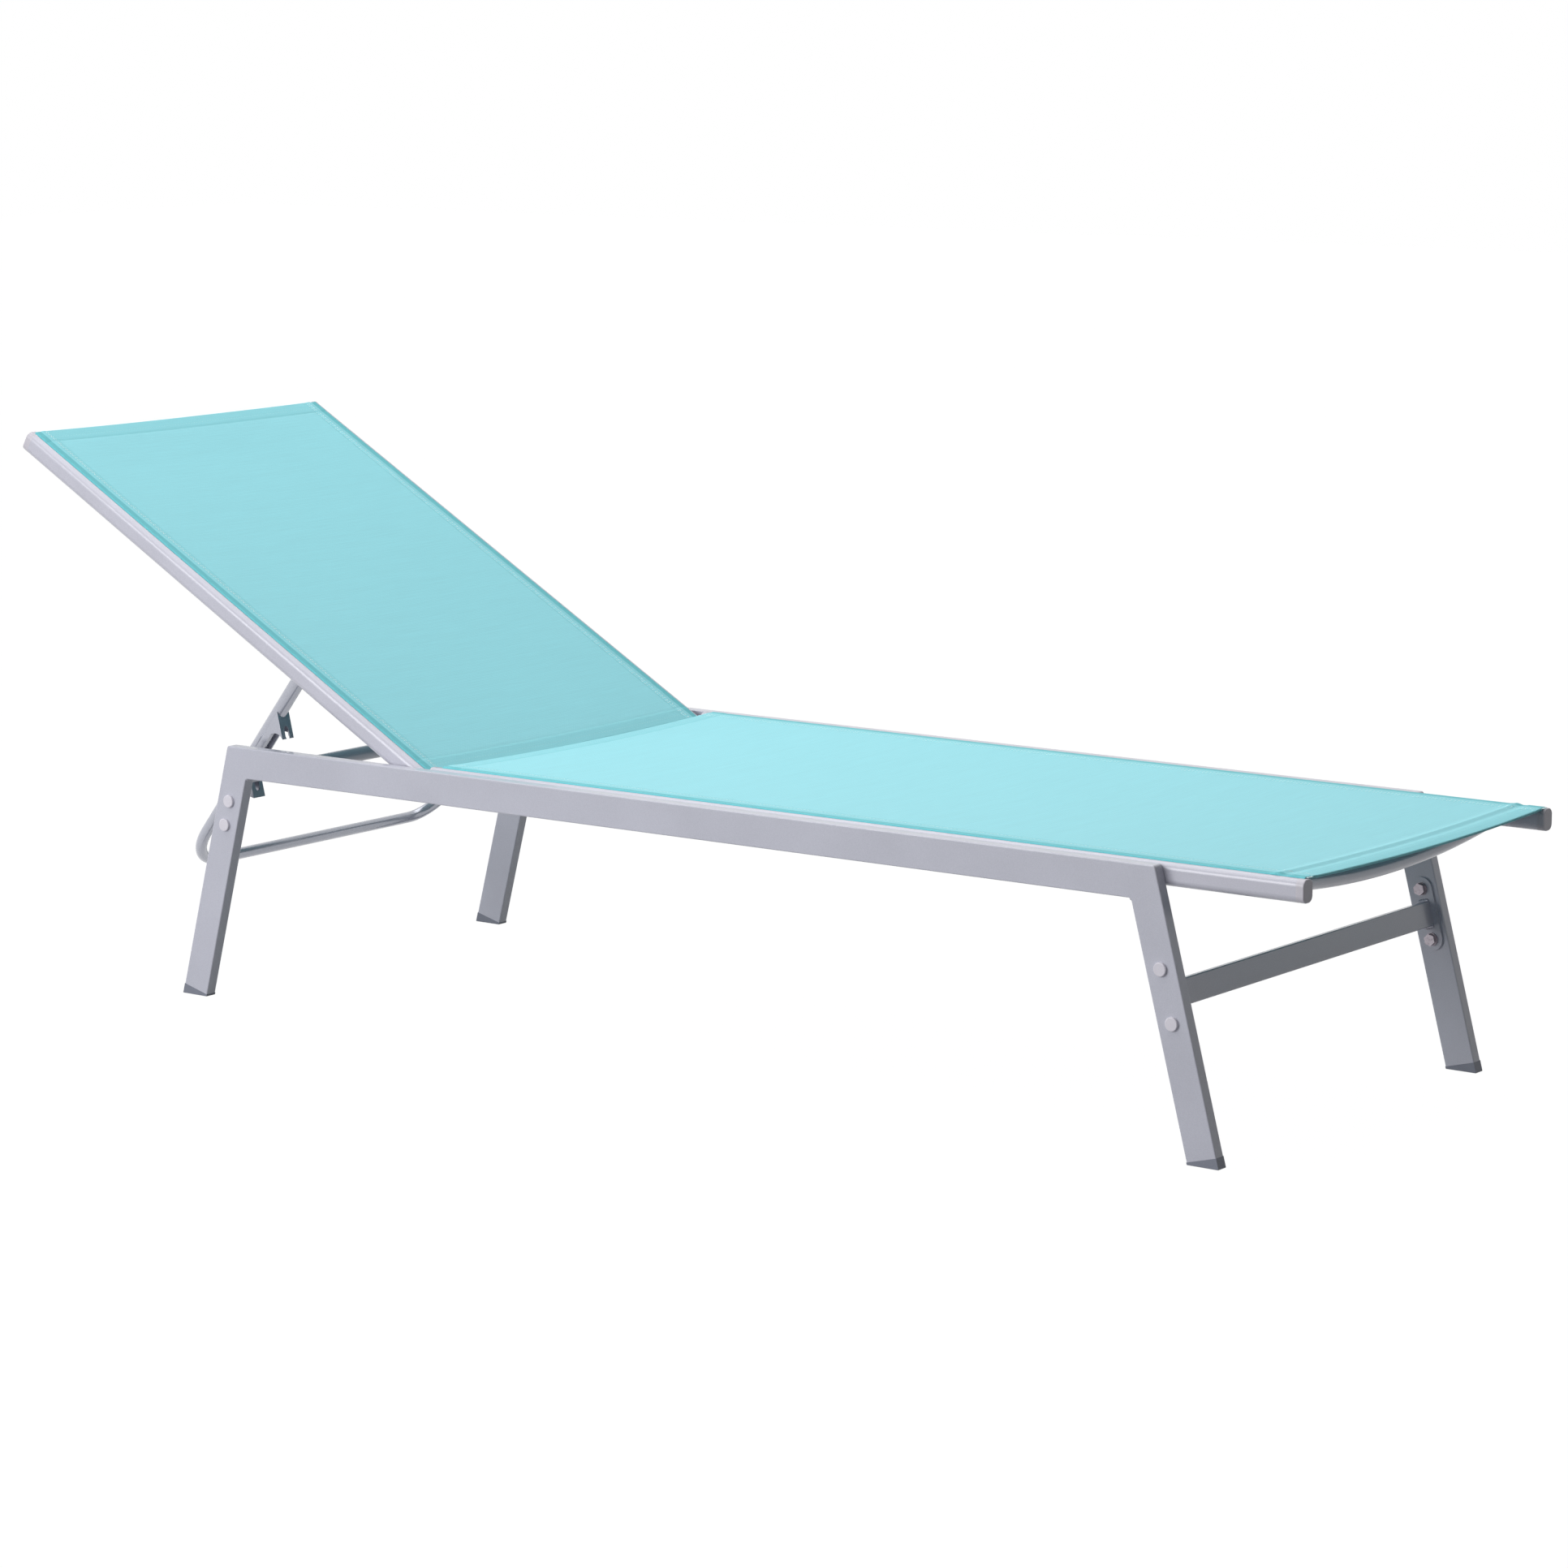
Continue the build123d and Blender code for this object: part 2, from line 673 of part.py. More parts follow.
def bead_section(rail_middle):
    """Section of the two beaded edges, from the sheet down through the slots."""
    neck_start = channel_up + (bead_radius + bead_bore) / 2
    neck_end = rail_depth / 2 + sling_lift + sling_thickness / 2
    with BuildSketch() as section:
        necks = [(side * (rail_middle - neck_in), (neck_start + neck_end) / 2) for side in sides.values()]
        with Locations(*necks):
            Rectangle(sling_thickness, neck_end - neck_start)
        with Locations(*[(side * rail_middle, channel_up) for side in sides.values()]):
            Circle(bead_radius)
            Circle(bead_bore, mode=Mode.SUBTRACT)
    return section.sketch


with BuildPart() as seat_sling:
    sling_start = hinge_x + seat_sling_start
    with BuildSketch(seat_plane(0, sling_start)):
        add(sheet_section(seat_rail_y))
    extrude(amount=foot_end_x - sling_end_margin - sling_start)
    with BuildSketch(seat_plane(0, sling_start)):
        add(bead_section(seat_rail_y))
    extrude(amount=seat_rail_end - sling_start)
save(seat_sling, "seat_sling")

with BuildPart() as seat_rods:
    for side in sides.values():
        with BuildSketch(seat_plane(side, sling_start + rod_shortfall)):
            with Locations((0, channel_up)):
                Circle(rod_radius)
        extrude(amount=seat_rail_end - sling_start - rod_shortfall)
save(seat_rods, "seat_bead_rods")

back_sheet_start = -back_rail_tail - hinge_plug_length
with BuildPart() as back_sling:
    with BuildSketch(back_plane(0, back_sheet_start)):
        add(sheet_section(back_rail_y))
    extrude(amount=back_length - sling_end_margin - back_sheet_start)
    with BuildSketch(back_plane(0, -back_rail_tail)):
        add(bead_section(back_rail_y))
    extrude(amount=back_rail_length)
save(back_sling, "back_sling")

with BuildPart() as back_rods:
    for side in sides.values():
        with BuildSketch(back_plane(side, -back_rail_tail)):
            with Locations((0, channel_up)):
                Circle(rod_radius)
        extrude(amount=back_rail_length)
save(back_rods, "back_bead_rods")


# Hinge: a shouldered bolt through a bushed back rail into a rivet nut in the side rail
with BuildPart() as hinge_nuts:
    for side in sides.values():
        with BuildSketch(inner_face_plane(side, hinge_x, rail_z)):
            Circle(rivet_nut_radius)
        extrude(amount=-rivet_nut_length)
        with BuildSketch(inner_face_plane(side, hinge_x, rail_z, -overrun)):
            Circle(hinge_bolt_radius + thread_clearance)
        extrude(amount=-rivet_nut_length - overrun * 2, mode=Mode.SUBTRACT)
save(hinge_nuts, "hinge_rivet_nuts")

rail_inner_face = back_rail_y - rail_width / 2
rail_outer_face = back_rail_y + rail_width / 2
bolt_seat = rail_inner_face - bush_flange - bolt_head_gap
with BuildPart() as hinge_bolts:
    for side in sides.values():
        with BuildSketch(back_side_plane(0, 0, side * bolt_seat, side)):
            Circle(hinge_bolt_radius)
        extrude(amount=frame_inner + rivet_nut_length - bolt_seat)
        with BuildSketch(back_side_plane(0, 0, side * bolt_seat, -side)):
            Circle(bolt_head_radius)
        extrude(amount=bolt_head_height)
        socket = back_side_plane(0, 0, side * (bolt_seat - bolt_head_height), side)
        with BuildSketch(socket):
            RegularPolygon(socket_radius, 6)
        extrude(amount=socket_depth, mode=Mode.SUBTRACT)
save(hinge_bolts, "hinge_bolts")

with BuildPart() as hinge_bushes:
    for side in sides.values():
        with BuildSketch(back_side_plane(0, 0, side * (rail_inner_face - bush_flange), side)):
            Circle(bush_radius)
        extrude(amount=bush_flange + rail_width + hinge_spacer)
        flanges = ((rail_inner_face - bush_flange, bush_flange), (rail_outer_face, hinge_spacer))
        for start, thickness in flanges:
            with BuildSketch(back_side_plane(0, 0, side * start, side)):
                Circle(bush_flange_radius)
            extrude(amount=thickness)
        with BuildSketch(back_side_plane(0, 0, side * (rail_inner_face - overrun), side)):
            Circle(hinge_bolt_radius + running_clearance)
        extrude(amount=rail_width + overrun * 2, mode=Mode.SUBTRACT)
save(hinge_bushes, "hinge_bushes")


# Prop: two legs that swing on the back rails, each with a rack, joined by a bow below
pivot_point = hinge_point + back_along * prop_pivot_along - back_up * prop_pivot_below
catch_point = Vector(leg_point(-1, catch_bar_height), 0, catch_bar_height)
to_catch = catch_point - pivot_point
prop_turn = atan2(-to_catch.Z, -to_catch.X) - asin(catch_from_leg / to_catch.length)
prop_along = Vector(-cos(prop_turn), 0, -sin(prop_turn))
prop_out = Vector(sin(prop_turn), 0, -cos(prop_turn))
prop_y = half_width - prop_inset
catch_at = to_catch.dot(prop_along)
catch_out = to_catch.dot(prop_out)
prop_leg_end = catch_at + prop_leg_below_catch
bow_start = prop_leg_end - bow_overlap
bow_reach = catch_at + bow_below_catch


def prop_across(along, y):
    """Plane across a prop leg, facing down the leg."""
    origin = pivot_point + prop_along * along + Vector(0, y, 0)
    return Plane(origin=origin, x_dir=prop_out, z_dir=prop_along)


def prop_side(y):
    """Plane seen from the right of a prop leg: local X down the leg, local Y towards the rack."""
    return Plane(origin=pivot_point + Vector(0, y, 0), x_dir=prop_along, z_dir=(0, -1, 0))


leg_bore = bow_radius + bow_fit
spacer_end = rail_inner_face - rivet_nut_flange - pivot_spacer_gap
pivot_bush_out = spacer_end - prop_y
pivot_bush_in = prop_leg_radius + bush_flange
for side_name, side in sides.items():
    with BuildPart() as prop_leg:
        with BuildSketch(prop_across(-prop_leg_top, side * prop_y)):
            Circle(prop_leg_radius)
            Circle(leg_bore, mode=Mode.SUBTRACT)
        extrude(amount=prop_leg_end + prop_leg_top)
        with BuildSketch(prop_side(side * prop_y + prop_leg_radius + overrun)):
            Circle(bush_radius + bush_fit)
        extrude(amount=(prop_leg_radius + overrun) * 2, mode=Mode.SUBTRACT)
    save(prop_leg, f"prop_leg_{side_name}")

# Leg plugs: low plastic discs in the tops of the prop legs
with BuildPart() as prop_plugs:
    for side in sides.values():
        with BuildSketch(prop_across(-prop_leg_top - prop_plug_length, side * prop_y)):
            Circle(prop_leg_radius)
        extrude(amount=prop_plug_length)
    tops = prop_plugs.edges().sort_by(Axis(pivot_point, prop_along))[:2]
    fillet(tops, prop_plug_edge)
save(prop_plugs, "prop_leg_plugs")

# Pivot bushes: sleeves across the prop legs, with a collar that keeps each leg off its rail
with BuildPart() as pivot_bushes:
    for side in sides.values():
        inner_y = side * (prop_y - pivot_bush_in)
        with BuildSketch(back_side_plane(prop_pivot_along, -prop_pivot_below, inner_y, side)):
            Circle(bush_radius)
        extrude(amount=pivot_bush_in + pivot_bush_out)
        collar_y = side * (prop_y + prop_leg_radius)
        with BuildSketch(back_side_plane(prop_pivot_along, -prop_pivot_below, collar_y, side)):
            Circle(bush_flange_radius)
        extrude(amount=pivot_bush_out - prop_leg_radius)
        bore_y = side * (prop_y - pivot_bush_in - overrun)
        with BuildSketch(back_side_plane(prop_pivot_along, -prop_pivot_below, bore_y, side)):
            Circle(hinge_bolt_radius + running_clearance)
        extrude(amount=pivot_bush_in + pivot_bush_out + overrun * 2, mode=Mode.SUBTRACT)
save(pivot_bushes, "prop_pivot_bushes")

with BuildPart() as pivot_nuts:
    for side in sides.values():
        face_y = side * (rail_inner_face - rivet_nut_flange)
        with BuildSketch(back_side_plane(prop_pivot_along, -prop_pivot_below, face_y, side)):
            Circle(rivet_nut_flange_radius)
        extrude(amount=rivet_nut_flange)
        with BuildSketch(back_side_plane(prop_pivot_along, -prop_pivot_below, face_y, side)):
            Circle(rivet_nut_radius)
        extrude(amount=rivet_nut_length)
        bore_y = side * (rail_inner_face - overrun)
        with BuildSketch(back_side_plane(prop_pivot_along, -prop_pivot_below, bore_y, side)):
            Circle(hinge_bolt_radius + thread_clearance)
        extrude(amount=rivet_nut_length + overrun * 2, mode=Mode.SUBTRACT)
save(pivot_nuts, "prop_rivet_nuts")

pivot_seat = prop_y - pivot_bush_in - bolt_head_gap
with BuildPart() as pivot_bolts:
    for side in sides.values():
        seat_y = side * pivot_seat
        with BuildSketch(back_side_plane(prop_pivot_along, -prop_pivot_below, seat_y, side)):
            Circle(hinge_bolt_radius)
        extrude(amount=rail_inner_face + rivet_nut_length - rivet_nut_flange - pivot_seat)
        with BuildSketch(back_side_plane(prop_pivot_along, -prop_pivot_below, seat_y, -side)):
            Circle(bolt_head_radius)
        extrude(amount=bolt_head_height)
        head_y = side * (pivot_seat - bolt_head_height)
        with BuildSketch(back_side_plane(prop_pivot_along, -prop_pivot_below, head_y, side)):
            RegularPolygon(socket_radius, 6)
        extrude(amount=socket_depth, mode=Mode.SUBTRACT)
save(pivot_bolts, "prop_pivot_bolts")

# Bow: thinner round tube, plugged into both legs and bent round below
with BuildPart() as bow:
    bow_plane = Plane(origin=pivot_point, x_dir=prop_along, z_dir=prop_along.cross(Vector(0, 1, 0)))
    with BuildLine(bow_plane) as bow_path:
        FilletPolyline(
            (bow_start, -prop_y), (bow_reach, -prop_y), (bow_reach, prop_y), (bow_start, prop_y),
            radius=bow_bend,
        )
    with BuildSketch(prop_across(bow_start, -prop_y)):
        Circle(bow_radius)
        Circle(bow_radius - bow_wall, mode=Mode.SUBTRACT)
    sweep(path=bow_path.line)
save(bow, "prop_bow")


# Racks: sheet pressed to a channel, with sloping webs and notches in both cheeks
first_tip = (catch_at - first_tooth_above_catch, first_tooth_height)
low_tip = (catch_at - low_tooth_above_catch, low_tooth_height)
last_tip = (catch_at + last_tooth_below_catch, last_tooth_height)


def ramp_foot(tip_at, height, level):
    """Where a tooth's sloping face meets a level, for a tooth of a given tip and height."""
    return tip_at - (height - level) / tan(radians(ramp_angle))


def rack_outline():
    """Outline of a rack cheek: hook, low tooth, cradle round the catch bar, and end tooth."""
    cradle = catch_bar_radius + cradle_clearance
    slope = radians(ramp_angle)
    touch = (catch_at + cradle * sin(slope), catch_out - cradle * cos(slope))
    flank = atan2(catch_out - low_tooth_height, low_tooth_above_catch)
    reach = hypot(catch_out - low_tooth_height, low_tooth_above_catch)
    lean = flank + asin(cradle / reach)
    seat = (catch_at - cradle * sin(lean), catch_out - cradle * cos(lean))
    bottom_turn = (lean + slope) / 2 - lean
    bottom = (catch_at + cradle * sin(bottom_turn), catch_out - cradle * cos(bottom_turn))
    hook_floor = (first_tip[0] + hook_floor_start, rack_floor)
    hook_middle = (first_tip[0] - hook_back, (first_tooth_height + rack_floor) / 2)
    tail_at = last_tip[0] + (last_tooth_height - rack_root) * rack_tail_slope
    root_start = (ramp_foot(*first_tip, rack_root), rack_root)
    low_foot = (ramp_foot(*low_tip, rack_floor), rack_floor)
    with BuildSketch() as outline:
        with BuildLine():
            Line(root_start, first_tip)
            ThreePointArc(first_tip, hook_middle, hook_floor)
            Line(hook_floor, low_foot)
            Line(low_foot, low_tip)
            Line(low_tip, seat)
            ThreePointArc(seat, bottom, touch)
            Line(touch, last_tip)
            Line(last_tip, (tail_at, rack_root))
            Line((tail_at, rack_root), root_start)
        make_face()
    return outline.sketch


def rack_hollow():
    """Hollow between the cheeks: it leaves a web of sheet behind the two sloping faces."""
    behind = rack_sheet / sin(radians(ramp_angle))
    with BuildSketch() as hollow:
        for tip, far_end in (
            (first_tip, last_tip[0] - last_tooth_height),
            (last_tip, last_tip[0] + last_tooth_height),
        ):
            top = tip[1] + overrun
            low = ramp_foot(*tip, -overrun) + behind
            high = ramp_foot(*tip, top) + behind
            with BuildLine():
                Polyline((low, -overrun), (high, top), (far_end, top), (far_end, -overrun), close=True)
            make_face()
    return hollow.sketch


for side_name, side in sides.items():
    with BuildPart() as rack:
        with BuildSketch(prop_side(side * prop_y + rack_half_width)):
            add(rack_outline())
        extrude(amount=rack_half_width * 2)
        inner_half = rack_half_width - rack_sheet
        with BuildSketch(prop_side(side * prop_y + inner_half)):
            add(rack_hollow())
        extrude(amount=inner_half * 2, mode=Mode.SUBTRACT)
        with BuildSketch(prop_across(0, side * prop_y)):
            Circle(prop_leg_radius)
        extrude(amount=prop_leg_end + overrun, mode=Mode.SUBTRACT)
        slope = radians(ramp_angle)
        for tip_at, tip_out in (first_tip, last_tip):
            tip = pivot_point + prop_along * tip_at + prop_out * tip_out
            down_ramp = prop_along * -cos(slope) - prop_out * sin(slope)
            off_ramp = prop_out * cos(slope) - prop_along * sin(slope)
            middle = tip + down_ramp * rack_slot_from_tip + off_ramp * overrun
            slot_plane = Plane(
                origin=middle + Vector(0, side * prop_y, 0), x_dir=down_ramp, z_dir=off_ramp
            )
            with BuildSketch(slot_plane):
                SlotOverall(rack_slot_length, rack_slot_width)
            extrude(amount=-rack_sheet - overrun * 2, mode=Mode.SUBTRACT)
    save(rack, f"prop_rack_{side_name}")

print("hinge", hinge_x, rail_z)
print("prop pivot", pivot_point.X, pivot_point.Z)
print("catch bar in the prop's own axes", catch_at, catch_out)
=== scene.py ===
import bpy
import bmesh
from math import cos, exp, hypot, pi, radians, sin
from mathutils import Matrix, Vector


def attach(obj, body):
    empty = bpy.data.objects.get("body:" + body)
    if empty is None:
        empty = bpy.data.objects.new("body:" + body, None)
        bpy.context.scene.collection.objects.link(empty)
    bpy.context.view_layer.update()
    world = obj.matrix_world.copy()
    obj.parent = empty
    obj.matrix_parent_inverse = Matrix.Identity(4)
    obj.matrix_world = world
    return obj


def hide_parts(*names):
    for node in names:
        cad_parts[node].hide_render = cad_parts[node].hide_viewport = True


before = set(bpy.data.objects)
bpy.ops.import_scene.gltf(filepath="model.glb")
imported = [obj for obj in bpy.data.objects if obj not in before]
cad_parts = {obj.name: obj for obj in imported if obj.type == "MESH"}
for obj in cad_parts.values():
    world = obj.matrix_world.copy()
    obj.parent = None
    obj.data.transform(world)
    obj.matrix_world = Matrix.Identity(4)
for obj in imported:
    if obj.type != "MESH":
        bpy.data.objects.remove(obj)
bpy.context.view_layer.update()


# The photographer's place: a long lens, low, off the foot end's right corner, with a trace of roll.
# The lens and the place were worked out from the straight edges of the frame.
camera_place = Vector((3.6078, -4.7171, 1.3180))
camera_right = Vector((0.79953, 0.60062, -0.00256))
camera_up = Vector((-0.0992, 0.1363, 0.9857))
camera_back = Vector((0.59238, -0.78784, 0.16850))
sensor_width = 36.0
lens_length = 110.47

camera_data = bpy.data.cameras.new("camera")
camera_data.sensor_width = sensor_width
camera_data.lens = lens_length
camera_data.clip_start = 0.5
camera_data.clip_end = 60.0
camera = bpy.data.objects.new("camera", camera_data)
bpy.context.collection.objects.link(camera)
camera_turn = Matrix((camera_right, camera_up, camera_back)).transposed()
camera.matrix_world = Matrix.Translation(camera_place) @ camera_turn.to_4x4()
bpy.context.scene.camera = camera
bpy.context.scene.view_settings.view_transform = "Standard"


# Steel side frames, legs and crossbars, extruded rails, bent spreaders and the prop, all in a
# silver coat: a fine satin texture with small mica flakes, lavender in daylight, and slightly
# uneven where it ran thin.
def linear(hex_colour):
    """A colour written as sRGB hex, in linear red, green, blue and alpha, by the standard curve."""
    channels = [int(hex_colour[i:i + 2], 16) / 255 for i in (1, 3, 5)]
    return [c / 12.92 if c <= 0.04045 else ((c + 0.055) / 1.055) ** 2.4 for c in channels] + [1.0]


def node(material, kind, settings=None, **inputs):
    """Add a shader node. An input is a value or another node's socket, and is named by its own
    name, with _ for a space, or by _ and its number."""
    made = material.node_tree.nodes.new(kind)
    for name, value in (settings or {}).items():
        setattr(made, name, value)
    for name, value in inputs.items():
        numbered = name[1:].isdigit()
        socket = made.inputs[int(name[1:]) if numbered else name.replace("_", " ")]
        if isinstance(value, bpy.types.NodeSocket):
            material.node_tree.links.new(value, socket)
        else:
            socket.default_value = value
    return made


def new_material(name):
    """A new material and its surface shader, which already feeds the output."""
    material = bpy.data.materials.new(name)
    material.use_nodes = True
    return material, material.node_tree.nodes["Principled BSDF"]


MM = 0.001
noise_span = {"From_Min": 0.3, "From_Max": 0.7}     # nearly all of a noise's values lie here


def silver_coat(name, colours, metallic, roughness, peel_depth):
    """The flakes are drawn 1.1 mm apart, far coarser than real ones, so that they show. Clouds of
    90 mm shift tone and gloss, and the sprayed surface has an orange peel of 2.5 mm."""
    material, shader = new_material(name)
    links = material.node_tree.links
    place = node(material, "ShaderNodeTexCoord").outputs["Object"]
    flake = node(material, "ShaderNodeTexNoise", Vector=place, Scale=1 / (1.1 * MM), Detail=2.0)
    cloud = node(material, "ShaderNodeTexNoise", Vector=place, Scale=1 / (90 * MM), Detail=3.0)
    speckle = node(
        material, "ShaderNodeMix", {"data_type": "RGBA"},
        _0=flake.outputs["Fac"], _6=linear(colours[0]), _7=linear(colours[1]),
    )
    tone = node(
        material, "ShaderNodeMapRange",
        Value=cloud.outputs["Fac"], **noise_span, To_Min=0.97, To_Max=1.03,
    )
    shade = node(
        material, "ShaderNodeMix", {"data_type": "RGBA", "blend_type": "MULTIPLY"},
        _0=1.0, _6=speckle.outputs[2], _7=tone.outputs["Result"],
    )
    rough = node(
        material, "ShaderNodeMapRange",
        Value=cloud.outputs["Fac"], **noise_span,
        To_Min=roughness - 0.03, To_Max=roughness + 0.04,
    )
    peel = node(material, "ShaderNodeTexNoise", Vector=place, Scale=1 / (2.5 * MM), Detail=1.0)
    bump = node(
        material, "ShaderNodeBump",
        Height=peel.outputs["Fac"], Strength=0.25, Distance=peel_depth,
    )
    links.new(shade.outputs[2], shader.inputs["Base Color"])
    links.new(rough.outputs["Result"], shader.inputs["Roughness"])
    links.new(bump.outputs["Normal"], shader.inputs["Normal"])
    shader.inputs["Metallic"].default_value = metallic
    shader.inputs["Coat Weight"].default_value = 0.5
    shader.inputs["Coat Roughness"].default_value = 0.14
    return material


def give_finish(piece, finish):
    piece.data.materials.clear()
    piece.data.materials.append(finish)


def finish_nodes(finish, single, paired=()):
    """Give solids their finish: single ones by name, and those that come as a left and a right."""
    for name in [*single, *(f"{part}_{side}" for part in paired for side in ("left", "right"))]:
        give_finish(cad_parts[name], finish)


frame_coat = silver_coat("silver powder coat", ("#AAABB8", "#C0C1CD"), 0.0, 0.38, 0.05 * MM)
rail_coat = silver_coat("silver coated extrusion", ("#AFAFBC", "#C5C5D1"), 0.05, 0.40, 0.03 * MM)
prop_coat = silver_coat("silver coated tube", ("#A8AAB5", "#BEC0CA"), 0.5, 0.2, 0.03 * MM)
finish_nodes(
    frame_coat, ["front_crossbar", "catch_bar"],
    ["side_rail", "front_leg", "rear_leg", "front_end_plate", "rear_end_plate"],
)
finish_nodes(
    rail_coat,
    ["seat_foot_spreader", "seat_hip_spreader", "back_lumbar_spreader", "back_head_spreader"],
    ["seat_rail", "back_rail"],
)
finish_nodes(prop_coat, ["prop_bow"], ["prop_leg", "prop_rack"])


# Welds: lumpy beads under the same coat, between the crossbar and its end plates above and below,
# round the catch bar at its plates, and in the inner corners of the mitred side frames.
def weld_bead(path, radius, closed=False):
    """A bead along a path in mm: thick and thin by turns, and thin at its ends if it has any."""
    lump, thin_end = 0.22, 0.55
    curve = bpy.data.curves.new("weld", "CURVE")
    curve.dimensions = "3D"
    curve.bevel_depth = radius * MM
    curve.bevel_resolution = 2
    curve.use_fill_caps = True
    spline = curve.splines.new("POLY")
    spline.points.add(len(path) - 1)
    spline.use_cyclic_u = closed
    for index, (point, place) in enumerate(zip(spline.points, path)):
        point.co = (*(v * MM for v in place), 1.0)
        at_end = not closed and index in (0, len(path) - 1)
        point.radius = thin_end if at_end else 1.0 - lump * abs(sin(index * pi / 4))
    bead = bpy.data.objects.new("weld", curve)
    bpy.context.collection.objects.link(bead)
    return bead


# Sizes in mm: the crossbar's middle, half height and lean with the legs, the side frames' inner
# corners, the catch bar's middle and skin, and the inner faces of the end plates, out from Y = 0.
bar_x, bar_z, bar_half = 815.4, 187.5, 15.0
lean_x, lean_z = 0.2555, 0.9668
bar_plate, bar_weld, bar_weld_lift = 280.2, 2.7, 1.0
corner_ends, corner_inside, corner_under, corner_weld = (-571.4, 766.8), 285.2, 292.6, 2.6
catch_x, catch_z, catch_radius = -592.65, 291.5, 9.9
catch_plate, catch_weld, ring_points = 280.1, 1.6, 64

across_bar = [-6.4 + 0.8 * k for k in range(17)]
beads = []
for side in (-1, 1):
    for end in (-1, 1):
        middle_x = bar_x - end * lean_x * bar_half
        middle_z = bar_z + end * (lean_z * bar_half + bar_weld_lift)
        path = [
            (middle_x + lean_z * t, side * bar_plate, middle_z + lean_x * t) for t in across_bar
        ]
        beads.append(weld_bead(path, bar_weld))
    for x in corner_ends:
        path = [(x, side * (corner_inside + 0.8 * k), corner_under) for k in range(18)]
        beads.append(weld_bead(path, corner_weld))
    path = []
    for k in range(ring_points):
        angle = 2 * pi * k / ring_points
        x, z = catch_x + catch_radius * cos(angle), catch_z + catch_radius * sin(angle)
        path.append((x, side * catch_plate, z))
    beads.append(weld_bead(path, catch_weld, True))
bpy.ops.object.select_all(action="DESELECT")
for bead in beads:
    bead.select_set(True)
bpy.context.view_layer.objects.active = beads[0]
bpy.ops.object.convert(target="MESH")
bpy.ops.object.join()
welds = bpy.context.object
welds.name = "frame_welds"
bpy.ops.object.transform_apply()
bpy.ops.object.shade_smooth()
weld_coat = silver_coat("silver coat over weld", ("#A5A5B3", "#B7B7C4"), 0.15, 0.24, 0.06 * MM)
give_finish(welds, weld_coat)
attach(welds, "frame")


# Moulded plastic: warm grey foot caps, rail end caps and plugs, pale bolt caps, dark nylon bushes
# and the plain rods in the slings' beads. Fine grain, faint flow marks and scuffs from handling.
def moulded_plastic(name, colours, roughness, grain):
    """Colours: two that the flow marks shift between, and the scuffs. Grain: a depth in mm."""
    material, shader = new_material(name)
    links = material.node_tree.links
    place = node(material, "ShaderNodeTexCoord").outputs["Object"]
    flow = node(material, "ShaderNodeTexNoise", Vector=place, Scale=1 / (14 * MM), Detail=3.0)
    fine = node(material, "ShaderNodeTexNoise", Vector=place, Scale=1 / (0.9 * MM), Detail=2.0)
    scuff = node(
        material, "ShaderNodeTexNoise",
        Vector=place, Scale=1 / (5 * MM), Detail=4.0, Distortion=2.0,
    )
    tone = node(
        material, "ShaderNodeMix", {"data_type": "RGBA"},
        _0=flow.outputs["Fac"], _6=linear(colours[0]), _7=linear(colours[1]),
    )
    rub = node(
        material, "ShaderNodeMapRange",
        Value=scuff.outputs["Fac"], From_Min=0.62, From_Max=0.72, To_Min=0.0, To_Max=0.35,
    )
    worn = node(
        material, "ShaderNodeMix", {"data_type": "RGBA"},
        _0=rub.outputs["Result"], _6=tone.outputs[2], _7=linear(colours[2]),
    )
    rough = node(
        material, "ShaderNodeMath", {"operation": "MULTIPLY_ADD"},
        _0=rub.outputs["Result"], _1=0.5, _2=roughness,
    )
    bump = node(
        material, "ShaderNodeBump",
        Height=fine.outputs["Fac"], Strength=0.3, Distance=grain * MM,
    )
    links.new(worn.outputs[2], shader.inputs["Base Color"])
    links.new(rough.outputs["Value"], shader.inputs["Roughness"])
    links.new(bump.outputs["Normal"], shader.inputs["Normal"])
    return material


finish_nodes(
    moulded_plastic("moulded grey foot cap", ("#6E7280", "#7A7E8B", "#9A9CA6"), 0.45, 0.08),
    [], ["front_foot_cap", "rear_foot_cap"],
)
finish_nodes(
    moulded_plastic("moulded warm grey end cap", ("#BCB9C2", "#C8C5CE", "#DAD8DF"), 0.38, 0.06),
    ["seat_rail_rear_plugs", "back_rail_hinge_plugs", "prop_leg_plugs"],
    ["seat_rail_cap", "back_rail_cap"],
)
finish_nodes(
    moulded_plastic("moulded pale bolt cap", ("#CFCCD6", "#DAD7E0", "#E8E6EC"), 0.34, 0.05),
    ["front_bolt_caps", "rear_bolt_caps"],
)
finish_nodes(
    moulded_plastic("moulded dark nylon bush", ("#26282C", "#303236", "#4A4C50"), 0.42, 0.05),
    ["hinge_bushes", "prop_pivot_bushes"],
)
finish_nodes(
    moulded_plastic("drawn plastic rod", ("#C9CBCD", "#D6D7D8", "#E2E3E4"), 0.4, 0.03),
    ["seat_bead_rods", "back_bead_rods"],
)


